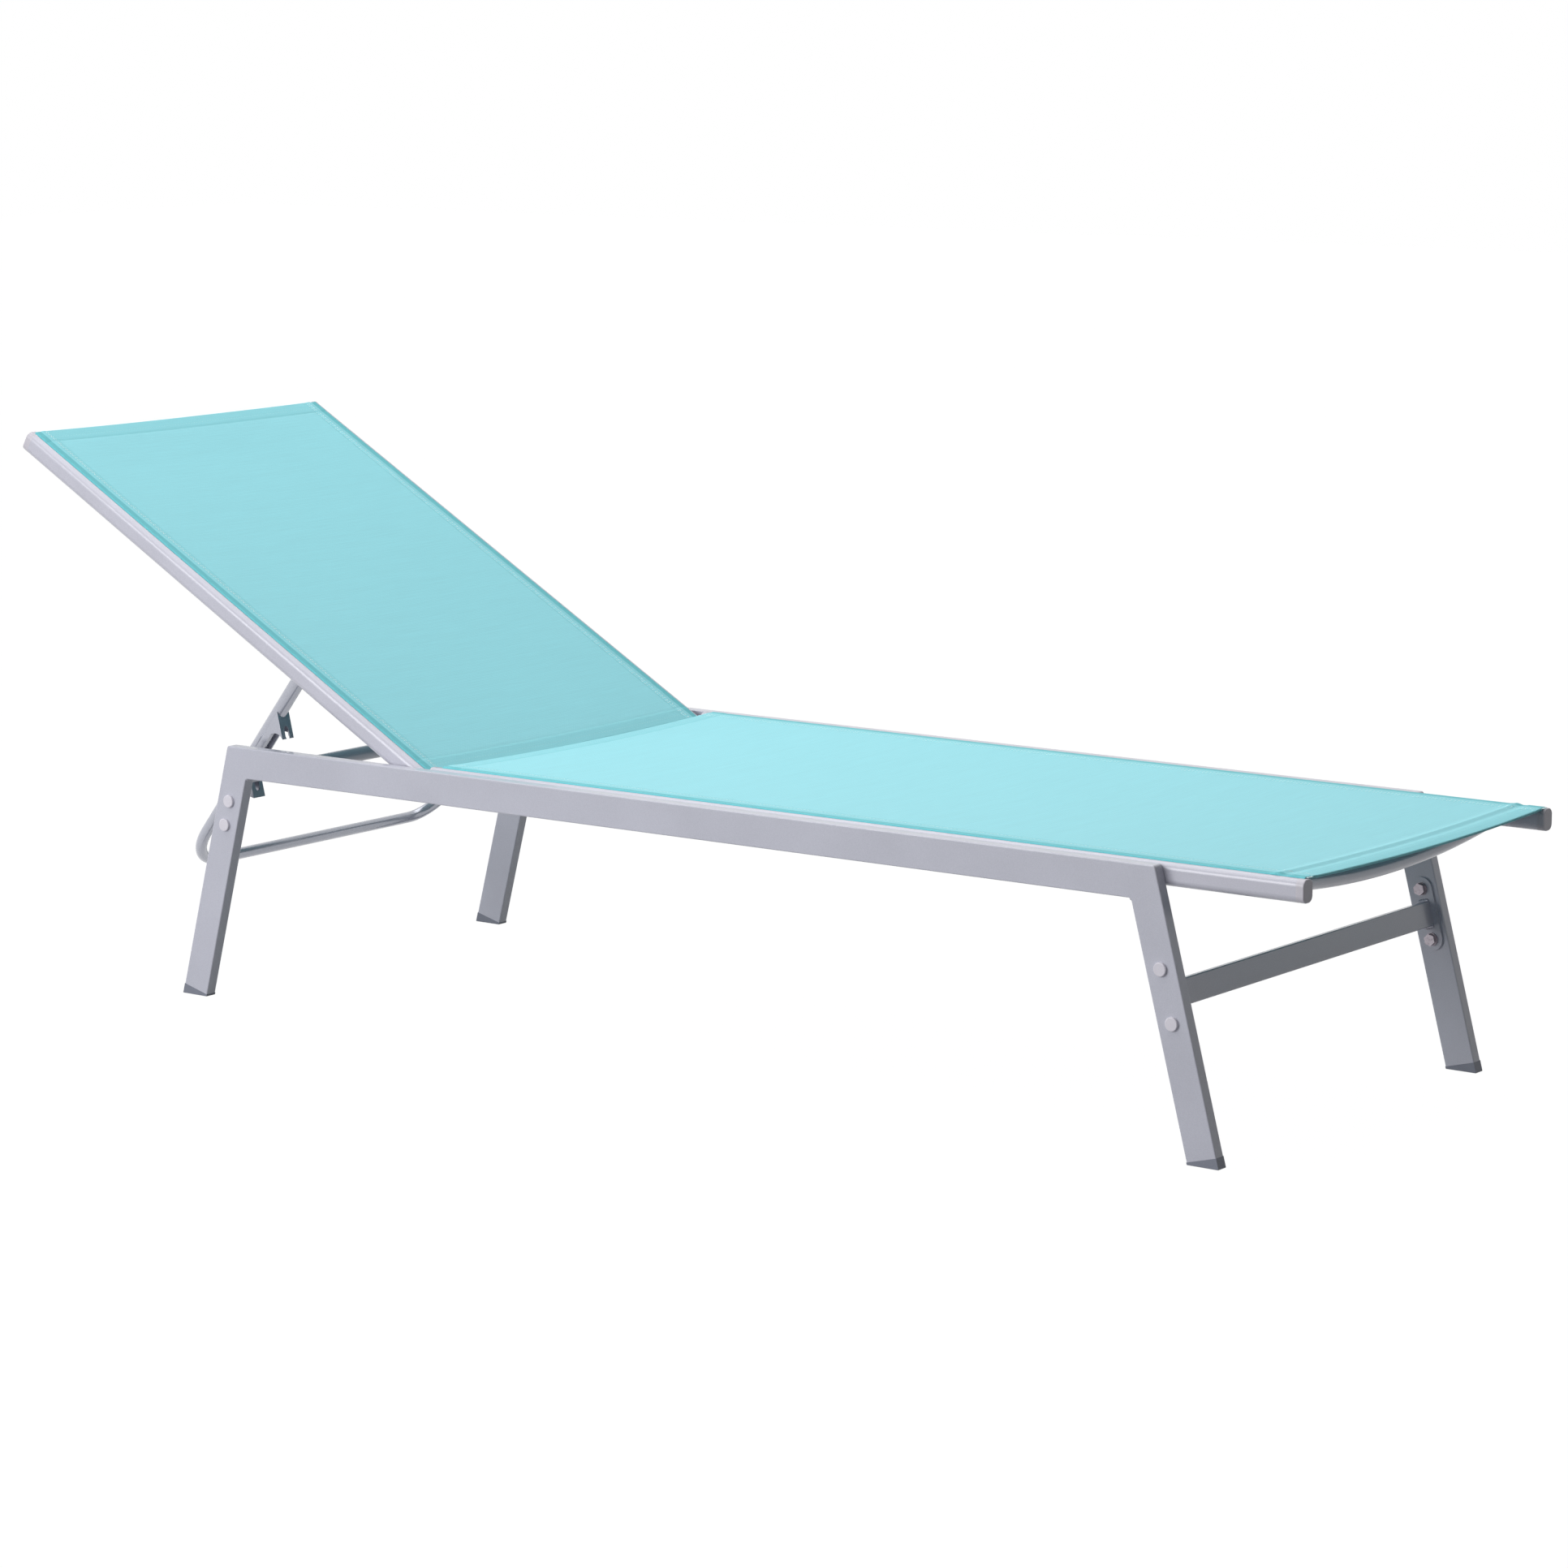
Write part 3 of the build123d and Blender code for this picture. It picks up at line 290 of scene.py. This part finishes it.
# Bolts, screws, washers and nuts: steel with bright zinc plate, which keeps a trace of brushing
# and is mottled with darker, slightly pink spots.
def zinc_plate(name, colours):
    """The brushing is drawn as lines 0.4 mm apart and 3 mm long, coarse enough to show."""
    material, shader = new_material(name)
    links = material.node_tree.links
    place = node(material, "ShaderNodeTexCoord").outputs["Object"]
    stretch = node(material, "ShaderNodeMapping", _0=place, Scale=(300.0, 2600.0, 300.0))
    brushing = node(
        material, "ShaderNodeTexNoise", Vector=stretch.outputs["Vector"], Scale=1.0, Detail=3.0,
    )
    spots = node(material, "ShaderNodeTexNoise", Vector=place, Scale=1 / (3 * MM), Detail=3.0)
    tone = node(
        material, "ShaderNodeMix", {"data_type": "RGBA"},
        _0=spots.outputs["Fac"], _6=linear(colours[0]), _7=linear(colours[1]),
    )
    rough = node(
        material, "ShaderNodeMapRange",
        Value=spots.outputs["Fac"], **noise_span, To_Min=0.26, To_Max=0.42,
    )
    bump = node(
        material, "ShaderNodeBump",
        Height=brushing.outputs["Fac"], Strength=0.3, Distance=0.03 * MM,
    )
    links.new(tone.outputs[2], shader.inputs["Base Color"])
    links.new(rough.outputs["Result"], shader.inputs["Roughness"])
    links.new(bump.outputs["Normal"], shader.inputs["Normal"])
    shader.inputs["Metallic"].default_value = 0.85
    return material


finish_nodes(zinc_plate("bright zinc plate", ("#7F787F", "#ABA4AB")), [
    "front_leg_bolts", "rear_leg_bolts", "front_leg_washers", "rear_leg_washers",
    "front_barrel_nuts", "rear_barrel_nuts", "rail_screws", "hinge_rivet_nuts", "hinge_bolts",
    "prop_rivet_nuts", "prop_pivot_bolts",
])


# Slings: open plain weave of coated aqua yarn, stretched between the rails. Each side is folded
# round a plastic rod that sits in the rail's channel and sewn to itself; the ends are hemmed.
# Their sizes are in mm: s along the sling, y across it, heights over the rails' middle lines.
SLING_THICK = 0.7
FACE_HEIGHT = 14.25      # of the stretched cloth where it passes over the rails
FOLD = 0.95              # a fold's radius, so a hem's lower layer lies 1.9 under its upper one
HEM = 24.0               # how deep the hems at both ends are
WAVE_BAND = pi / 10      # width of a wave texture's bands at a scale of 1


def coated_weave(name, colour, deep_and_shade_colour):
    """Coated yarn in a plain weave. The pitch is drawn at twice the real 1.1 mm, which is too fine
    to show, and the hollows between the yarns are painted darker as shade. The yarn swells along
    the weft in slubs. Where the mesh lies on a rail or is folded double no light comes through it,
    and its colour is painted deeper; the same deeper colour is painted as shade inboard of the
    side seams and on the curled foot end."""
    material, shader = new_material(name)
    links = material.node_tree.links
    place = node(material, "ShaderNodeTexCoord").outputs["UV"]
    pitch = 2.2 * MM
    warp = node(
        material, "ShaderNodeTexWave", {"bands_direction": "X"},
        Vector=place, Scale=WAVE_BAND / pitch, Distortion=0.4, Detail=1.0,
    )
    weft = node(
        material, "ShaderNodeTexWave", {"bands_direction": "Y"},
        Vector=place, Scale=WAVE_BAND / pitch, Distortion=0.4, Detail=1.0,
    )
    over = node(material, "ShaderNodeTexChecker", Vector=place, Scale=1 / pitch)
    weave = node(
        material, "ShaderNodeMix", {"data_type": "FLOAT"},
        _0=over.outputs["Fac"], _2=warp.outputs["Fac"], _3=weft.outputs["Fac"],
    )
    slub_place = node(material, "ShaderNodeMapping", _0=place, Scale=(14.0, 650.0, 1.0))
    slub = node(
        material, "ShaderNodeTexNoise", Vector=slub_place.outputs["Vector"], Scale=1.0, Detail=4.0,
    )
    band_place = node(material, "ShaderNodeMapping", _0=place, Scale=(3.0, 60.0, 1.0))
    band = node(
        material, "ShaderNodeTexNoise", Vector=band_place.outputs["Vector"], Scale=1.0, Detail=2.0,
    )
    # Painted: the deeper colour where the cloth is doubled or lies on a rail, standing in for light
    # that does not come through, and painted shade inboard of the seams and on the curled foot end.
    depth_shade_mark = node(material, "ShaderNodeAttribute", {"attribute_name": "depth_shade_mark"})
    ground_and_shade = node(
        material, "ShaderNodeMix", {"data_type": "RGBA"},
        _0=depth_shade_mark.outputs["Fac"], _6=linear(colour), _7=linear(deep_and_shade_colour),
    )
    slub_tone = node(
        material, "ShaderNodeMapRange",
        Value=slub.outputs["Fac"], **noise_span, To_Min=0.968, To_Max=1.026,
    )
    band_tone = node(
        material, "ShaderNodeMapRange",
        Value=band.outputs["Fac"], **noise_span, To_Min=0.992, To_Max=1.008,
    )
    # Painted shade: the hollows between the yarns are drawn darker and their crests a little
    # lighter.
    yarn_shade = node(
        material, "ShaderNodeMapRange", Value=weave.outputs[0], To_Min=0.93, To_Max=1.03,
    )
    streaks = node(
        material, "ShaderNodeMath", {"operation": "MULTIPLY"},
        _0=slub_tone.outputs["Result"], _1=band_tone.outputs["Result"],
    )
    tones = node(
        material, "ShaderNodeMath", {"operation": "MULTIPLY"},
        _0=streaks.outputs["Value"], _1=yarn_shade.outputs["Result"],
    )
    shade = node(
        material, "ShaderNodeMix", {"data_type": "RGBA", "blend_type": "MULTIPLY"},
        _0=1.0, _6=ground_and_shade.outputs[2], _7=tones.outputs["Value"],
    )
    relief = node(
        material, "ShaderNodeMath", {"operation": "MULTIPLY_ADD"},
        _0=slub.outputs["Fac"], _1=0.5, _2=weave.outputs[0],
    )
    bump = node(
        material, "ShaderNodeBump",
        Height=relief.outputs["Value"], Strength=0.35, Distance=0.25 * MM,
    )
    links.new(shade.outputs[2], shader.inputs["Base Color"])
    links.new(bump.outputs["Normal"], shader.inputs["Normal"])
    shader.inputs["Roughness"].default_value = 0.72
    shader.inputs["Specular IOR Level"].default_value = 0.3
    shader.inputs["Sheen Weight"].default_value = 0.12
    return material


def sewing_thread(name, colour, shadow):
    """Twisted polyester thread, its twist drawn coarse enough to show."""
    material, shader = new_material(name)
    links = material.node_tree.links
    place = node(material, "ShaderNodeTexCoord").outputs["Object"]
    twist = node(
        material, "ShaderNodeTexWave", {"bands_direction": "DIAGONAL"},
        Vector=place, Scale=WAVE_BAND / (0.6 * MM), Distortion=1.0,
    )
    shade = node(
        material, "ShaderNodeMix", {"data_type": "RGBA"},
        _0=twist.outputs["Fac"], _6=linear(shadow), _7=linear(colour),
    )
    bump = node(
        material, "ShaderNodeBump",
        Height=twist.outputs["Fac"], Strength=0.4, Distance=0.1 * MM,
    )
    links.new(shade.outputs[2], shader.inputs["Base Color"])
    links.new(bump.outputs["Normal"], shader.inputs["Normal"])
    shader.inputs["Roughness"].default_value = 0.6
    return material


def mesh_piece(name, points, faces, material, body):
    data = bpy.data.meshes.new(name)
    data.from_pydata(points, [], faces)
    piece = bpy.data.objects.new(name, data)
    bpy.context.collection.objects.link(piece)
    data.materials.append(material)
    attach(piece, body)
    return piece


def grid_face(corner, wide, turned):
    """A face of a grid with so many points in a row, turned over where its other side faces out."""
    face = (corner, corner + wide, corner + wide + 1, corner + 1)
    return face[::-1] if turned else face


def smooth(piece):
    piece.data.polygons.foreach_set("use_smooth", [True] * len(piece.data.polygons))


def give_wall(piece, thick, offset):
    """Turn a single layer into cloth with a thickness in mm."""
    bpy.ops.object.select_all(action="DESELECT")
    piece.select_set(True)
    bpy.context.view_layer.objects.active = piece
    wall = piece.modifiers.new("wall", "SOLIDIFY")
    wall.thickness = thick * MM
    wall.offset = offset
    bpy.ops.object.modifier_apply(modifier=wall.name)
    smooth(piece)


def swell(distance, width):
    """A soft bump: 1 at no distance, and nearly 0 from twice the width on."""
    return exp(-((distance / width) ** 2))


def step(value, low, high):
    """A soft step: 0 up to the low value and 1 from the high value on."""
    share = min(max((value - low) / (high - low), 0.0), 1.0)
    return share * share * (3 - 2 * share)


def sling_height(s, y, sling):
    """Height of the cloth's face: sag, doubled edges, seams that the thread pulls in, puckers."""
    start, end = sling["ends"]
    rail, seam = sling["rail_middle"], sling["seam"]
    doubled_lift, seam_pull, seam_pucker, seam_wave = 0.35, 0.4, 0.14, 23
    hem_lift, hem_pull, hem_pucker, hem_wave = 0.3, 0.35, 0.16, 26
    uneven, ridge_height, groove_depth, groove_from_ridge = 0.25, 1.3, 0.5, 9

    sag = sling["sag"] + (sling["end_sag"] - sling["sag"]) * step(s, end - 110, end)
    inward = 1 - (min(abs(y), rail) / rail) ** 2
    height = FACE_HEIGHT - sag * inward
    off_seam = abs(y) - seam
    doubled = step(off_seam, -2.5, 1.5) * (1 - step(abs(y), rail - 13, rail - 9))
    height += doubled_lift * doubled - seam_pull * swell(off_seam, 1.4)
    height += seam_pucker * swell(off_seam + 4, 7) * sin(2 * pi * s / seam_wave + y)
    for hem_line in (start + HEM, end - HEM):
        height -= hem_pull * swell(s - hem_line, 1.5)
        height += hem_pucker * swell(s - hem_line, 8) * sin(2 * pi * y / hem_wave)
    past_first_hem = step(s, start + HEM - 2, start + HEM + 1)
    in_last_hem = step(s, end - HEM - 1, end - HEM + 2)
    height += hem_lift * (1 - past_first_hem + in_last_hem)
    height += uneven * sin(s / 61 + 1.3) * sin(y / 83 + 0.4) * inward
    if sling["ridge"]:
        off_ridge = s - sling["ridge"]
        groove = groove_depth * swell(off_ridge - groove_from_ridge, 3.0)
        height += ridge_height * swell(off_ridge, 4.0) - groove
    return height - sling["end_drop"] * step(s, end - 15, end) * inward


def cloth_depth_and_shade(s, y, sling):
    """How much deeper the cloth is painted: 1 on a rail and less where hemmed double, where no
    light comes through it; painted shade inboard of the side seams and on the curled foot end; else
    0.
    """
    start, end = sling["ends"]
    rail, seam = sling["rail_middle"], sling["seam"]
    over_rail = step(abs(y), rail - 10.5, rail - 8.5)
    hem = 0.22 * max(
        step(abs(y), seam - 1, seam + 1),
        step(s, end - HEM - 1, end - HEM + 1),
        1 - step(s, start + HEM - 1, start + HEM + 1),
    )
    # Painted shade: the curled foot end turns away from the light, and the thread pulls the cloth
    # down just inboard of each side seam.
    painted_curl_shade = 0.3 * step(s, end - 13, end - 4) if sling["end_drop"] else 0.0
    painted_seam_shade = 0.35 * swell(abs(y) - seam + 2.2, 1.6)
    return max(over_rail, hem, painted_curl_shade, painted_seam_shade)


def sheet_section(sling):
    """Points across the sheet: their y, their drop into the slot and their place on the flat
    cloth. They lie wide apart in the middle, close from the seam on, and turn down at the slot."""
    rail, seam = sling["rail_middle"], sling["seam"]
    coarse, close = 6.0, 1.5
    half = [coarse * k for k in range(int((seam - 12) // coarse))]
    first = half[-1] + coarse
    half += [first + close * k for k in range(int((rail - 2 - half[-1] - coarse) // close))]
    section = [(y, 0.0, y) for y in half]
    for inset, drop in ((1.4, 0.0), (0.7, 0.2), (0.15, 0.7), (0.0, 1.4), (0.0, 3.2)):
        y, (last_y, last_drop, last_u) = rail - inset, section[-1]
        section.append((y, drop, last_u + hypot(y - last_y, drop - last_drop)))
    return [(-y, drop, -u) for y, drop, u in reversed(section[1:])] + section


def sheet_rows(sling):
    """Rows along the sheet: their s, their depth under the face, and whether they are folded
    under. The hem's lower layer comes first, then its fold, the face, and the other hem."""
    start, end = sling["ends"]
    coarse, close, hem_spacing, hem_rows = 6.5, 1.6, 3.0, 8
    turns = (0.25 * pi, 0.0, -0.25 * pi)
    rows = [(start + HEM - 0.5 - hem_spacing * k, 2 * FOLD, True) for k in range(hem_rows)]
    rows += [(start + FOLD * (1 - cos(a)), FOLD * (1 + sin(a)), True) for a in turns]
    s = start + FOLD
    while s < end - FOLD - 0.5:
        rows.append((s, 0.0, False))
        s += close if min(s - start, end - s) < HEM + 22 else coarse
    rows.append((end - FOLD, 0.0, False))
    rows += [(end - FOLD * (1 - cos(a)), FOLD * (1 - sin(a)), True) for a in turns]
    rows += [(end - FOLD - hem_spacing * k, 2 * FOLD, True) for k in range(hem_rows)]
    return rows


def sling_sheet(name, sling, material, body, node_name):
    """The stretched sheet: over the rails' tops at both sides into their slots, hemmed at both
    ends. Gives the sheet, its area and its flat width and length."""
    section, rows = sheet_section(sling), sheet_rows(sling)
    points, uv, depth_shade_mark, along = [], [], [], 0.0
    last_s, last_low = rows[0][:2]
    for s, low, _ in rows:
        along += hypot(s - last_s, low - last_low)
        last_s, last_low = s, low
        for y, drop, u in section:
            points.append(sling["lie"] @ Vector((s, y, sling_height(s, y, sling) - low - drop)))
            uv.append((u * MM, along * MM))
            depth_shade_mark.append(cloth_depth_and_shade(s, y, sling))

    hem_side = sling["rail_middle"] - 11          # the lower layers end short of the rails
    faces = []
    for row in range(len(rows) - 1):
        folded = rows[row][2] or rows[row + 1][2]
        for column in range(len(section) - 1):
            if folded and max(abs(section[column][0]), abs(section[column + 1][0])) > hem_side:
                continue
            corner = row * len(section) + column
            faces.append(grid_face(corner, len(section), not sling["mirrored"]))
    sheet = mesh_piece(name, points, faces, material, body)

    data = sheet.data
    layer = data.uv_layers.new(name="cloth")
    for loop in data.loops:
        layer.data[loop.index].uv = uv[loop.vertex_index]
    # The mark paints the cloth deeper where doubled or on a rail, and darker as painted shade by
    # the side seams and on the curled foot end.
    marks = data.attributes.new("depth_shade_mark", "FLOAT", "POINT")
    marks.data.foreach_set("value", depth_shade_mark)
    flat_area = sum(polygon.area for polygon in data.polygons)
    bm = bmesh.new()
    bm.from_mesh(data)
    bmesh.ops.delete(bm, geom=[v for v in bm.verts if not v.link_faces], context="VERTS")
    bm.to_mesh(data)
    bm.free()
    give_wall(sheet, SLING_THICK, -1.0)
    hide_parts(node_name)
    return sheet, flat_area, (section[-1][2] * 2 * MM, along * MM)


def sling_pockets(name, sling, material, body):
    """The sewn edges inside the channels: the cloth goes down the slot and round the rod."""
    start, rail_end = sling["ends"][0], sling["rail_end"]
    channel_height, wrap_radius, slot_side, count = 8.4, 2.75, -0.35, 40
    wrap = [-0.12 - 0.38 * k for k in range(16)]
    path = [(slot_side, 11.6), (slot_side, 11.2)]
    path += [(wrap_radius * sin(a), channel_height + wrap_radius * cos(a)) for a in wrap]
    points, faces = [], []
    for side in (-1, 1):
        first = len(points)
        for row in range(count + 1):
            s = start + 1 + (rail_end - start - 2) * row / count
            for across, up in path:
                place = Vector((s, side * (sling["rail_middle"] + across), up))
                points.append(sling["lie"] @ place)
        for row in range(count):
            for column in range(len(path) - 1):
                corner = first + row * len(path) + column
                faces.append(grid_face(corner, len(path), (side > 0) != sling["mirrored"]))
    pockets = mesh_piece(name, points, faces, material, body)
    give_wall(pockets, 0.6, 0.0)
    return pockets


def seam_rows(sling):
    """Place, turn and half sizes of each stitch: a zigzag pair along each side, two straight rows
    in each hem, and the frayed yarn ends at the foot hem's corners. They are drawn a little thick,
    so that they show."""
    start, end = sling["ends"]
    rail, seam = sling["rail_middle"], sling["seam"]
    zigzag, hemming, yarn_end = (2.7, 1.0, 0.8), (2.5, 0.8, 0.65), (3.4, 0.4, 0.4)
    rows = []
    for side in (-1, 1):
        s, lean = start + 4, 0.42
        while s < end - 4:
            for line in (0.0, 3.4):
                rows.append((s, side * (seam + line), lean, zigzag))
            s, lean = s + 5.0, -lean
    for hem_line in (start + HEM, start + HEM - 13, end - HEM, end - HEM + 9):
        y = -(rail - 16)
        while y < rail - 16:
            rows.append((hem_line, y, pi / 2 + 0.12, hemming))
            y += 5.2
    if sling["ridge"]:
        for side in (-1, 1):
            for k in range(6):
                s, y = end + 0.6 * sin(7.0 * k), side * (rail - 11.5 + 1.9 * k)
                rows.append((s, y, 0.5 * sin(5.0 * k), yarn_end))
    return rows


def stitches(name, sling, material, body):
    """Stitches of one sling: one stitch is modelled and copied along every seam. Its faces are
    sorted, because a new sphere's faces come in another order from run to run."""
    above_cloth = 0.12
    bpy.ops.object.select_all(action="DESELECT")
    bpy.ops.mesh.primitive_uv_sphere_add(segments=6, ring_count=4, radius=1.0)
    one = bpy.context.object
    shape = [v.co.copy() for v in one.data.vertices]
    rings = sorted(tuple(p.vertices) for p in one.data.polygons)
    bpy.data.objects.remove(one)
    points, faces = [], []
    for s, y, angle, size in seam_rows(sling):
        first = len(points)
        place = Vector((s, y, sling_height(s, y, sling) + above_cloth))
        turn = Matrix.Rotation(angle, 3, "Z")
        for corner in shape:
            local = turn @ Vector((corner.x * size[0], corner.y * size[1], corner.z * size[2]))
            points.append(sling["lie"] @ (place + local))
        faces += [tuple(first + i for i in ring) for ring in rings]
    threads = mesh_piece(name, points, faces, material, body)
    bm = bmesh.new()
    bm.from_mesh(threads.data)
    bmesh.ops.recalc_face_normals(bm, faces=bm.faces)
    bm.to_mesh(threads.data)
    bm.free()
    smooth(threads)
    return threads


# The seat's sling lies level and the back's leans up from the hinge, with s running to the head.
rail_height, hinge_x, lean_back = 0.3209, -0.304374, radians(29.6)
back_axes = Matrix((
    (-cos(lean_back), 0, sin(lean_back)), (0, 1, 0), (sin(lean_back), 0, cos(lean_back)),
))
hinge_place = Matrix.Translation((hinge_x, 0, rail_height))
seat_sling = {
    "lie": Matrix.Translation((0, 0, rail_height)) @ Matrix.Scale(MM, 4), "mirrored": False,
    "ends": (-262.4, 976.0), "rail_end": 969.1, "rail_middle": 274.0, "seam": 249.5,
    "sag": 5.0, "end_sag": 5.0, "end_drop": 1.0, "ridge": 938.5,
}
back_sling = {
    "lie": hinge_place @ back_axes.to_4x4() @ Matrix.Scale(MM, 4), "mirrored": True,
    "ends": (-13.0, 765.5), "rail_end": 759.0, "rail_middle": 271.0, "seam": 251.0,
    "sag": 4.6, "end_sag": 2.4, "end_drop": 0.0, "ridge": None,
}
# The second colour is painted where the cloth is doubled or on a rail, and as painted shade by the
# side seams and on the curled foot end.
sling_weave = coated_weave("coated aqua mesh", "#9AE4EE", "#6AC5CE")
sling_thread = sewing_thread("pale aqua thread", "#F0FEFF", "#BCE8ED")
for part, sling, body in (("seat", seat_sling, "frame"), ("back", back_sling, "backrest")):
    sheet, area, flat = sling_sheet(
        f"{part}_mesh_sheet", sling, sling_weave, body, f"{part}_sling",
    )
    pockets = sling_pockets(f"{part}_mesh_pockets", sling, sling_weave, body)
    threads = stitches(f"{part}_mesh_stitches", sling, sling_thread, body)


# Floor, backdrop and lights: a pale floor, one broad soft light above the head end, a fill from the
# near side, and little light from the foot end, so that faces turned there go dark.
def seen_or_mirrored(material):
    """1 for rays from the camera, and for those that a gloss or a clear piece passes on."""
    path = node(material, "ShaderNodeLightPath")
    seen = node(
        material, "ShaderNodeMath", {"operation": "MAXIMUM"},
        _0=path.outputs["Is Camera Ray"], _1=path.outputs["Is Transmission Ray"],
    )
    return node(
        material, "ShaderNodeMath", {"operation": "MAXIMUM"},
        _0=seen.outputs["Value"], _1=path.outputs["Is Glossy Ray"],
    ).outputs["Value"]


# Most of what is seen of the floor is plain white; the rest is the lit floor, with its shadow.
white_share, white_strength = 0.96, 1.04
bpy.ops.mesh.primitive_plane_add(size=30.0, location=(0, 0, 0))
floor = bpy.context.object
floor.name = "floor"
floor_white, floor_shader = new_material("white floor")
floor_shader.inputs["Base Color"].default_value = linear("#8E9092")
floor_shader.inputs["Roughness"].default_value = 0.9
share = node(
    floor_white, "ShaderNodeMath", {"operation": "MULTIPLY"},
    _0=seen_or_mirrored(floor_white), _1=white_share,
)
white = node(
    floor_white, "ShaderNodeEmission", Color=linear("#FFFFFF"), Strength=white_strength,
)
mix = node(
    floor_white, "ShaderNodeMixShader",
    _0=share.outputs["Value"], _1=floor_shader.outputs["BSDF"], _2=white.outputs["Emission"],
)
floor_output = floor_white.node_tree.nodes["Material Output"]
floor_white.node_tree.links.new(mix.outputs["Shader"], floor_output.inputs["Surface"])
floor.data.materials.append(floor_white)

head_strength, foot_strength, seen_strength = 0.5, 0.04, 1.0
world = bpy.data.worlds.new("studio")
bpy.context.scene.world = world
world.use_nodes = True
background = world.node_tree.nodes["Background"]
background.inputs["Color"].default_value = linear("#FFFFFF")
toward = node(world, "ShaderNodeTexCoord").outputs["Generated"]
facing = node(world, "ShaderNodeSeparateXYZ", Vector=toward)
from_side = node(
    world, "ShaderNodeMapRange", Value=facing.outputs["X"],
    From_Min=-0.5, From_Max=0.5, To_Min=head_strength, To_Max=foot_strength,
)
strength = node(
    world, "ShaderNodeMix", {"data_type": "FLOAT"},
    _0=seen_or_mirrored(world), _2=from_side.outputs["Result"], _3=seen_strength,
)
world.node_tree.links.new(strength.outputs[0], background.inputs["Strength"])


def soft_light(name, place, aim, size, power):
    """A rectangular area light at a place, turned to an aim point."""
    data = bpy.data.lights.new(name, "AREA")
    data.shape = "RECTANGLE"
    data.size, data.size_y = size
    data.energy = power
    light = bpy.data.objects.new(name, data)
    bpy.context.collection.objects.link(light)
    light.location = place
    light.rotation_euler = (Vector(aim) - Vector(place)).to_track_quat("-Z", "Y").to_euler()


soft_light("overhead", (-0.55, 0.0, 3.2), (-0.05, 0, 0.3), (4.2, 3.5), 83.0)
soft_light("near side", (-1.3, -4.2, 1.5), (0, 0, 0.3), (3.2, 2.2), 120.0)
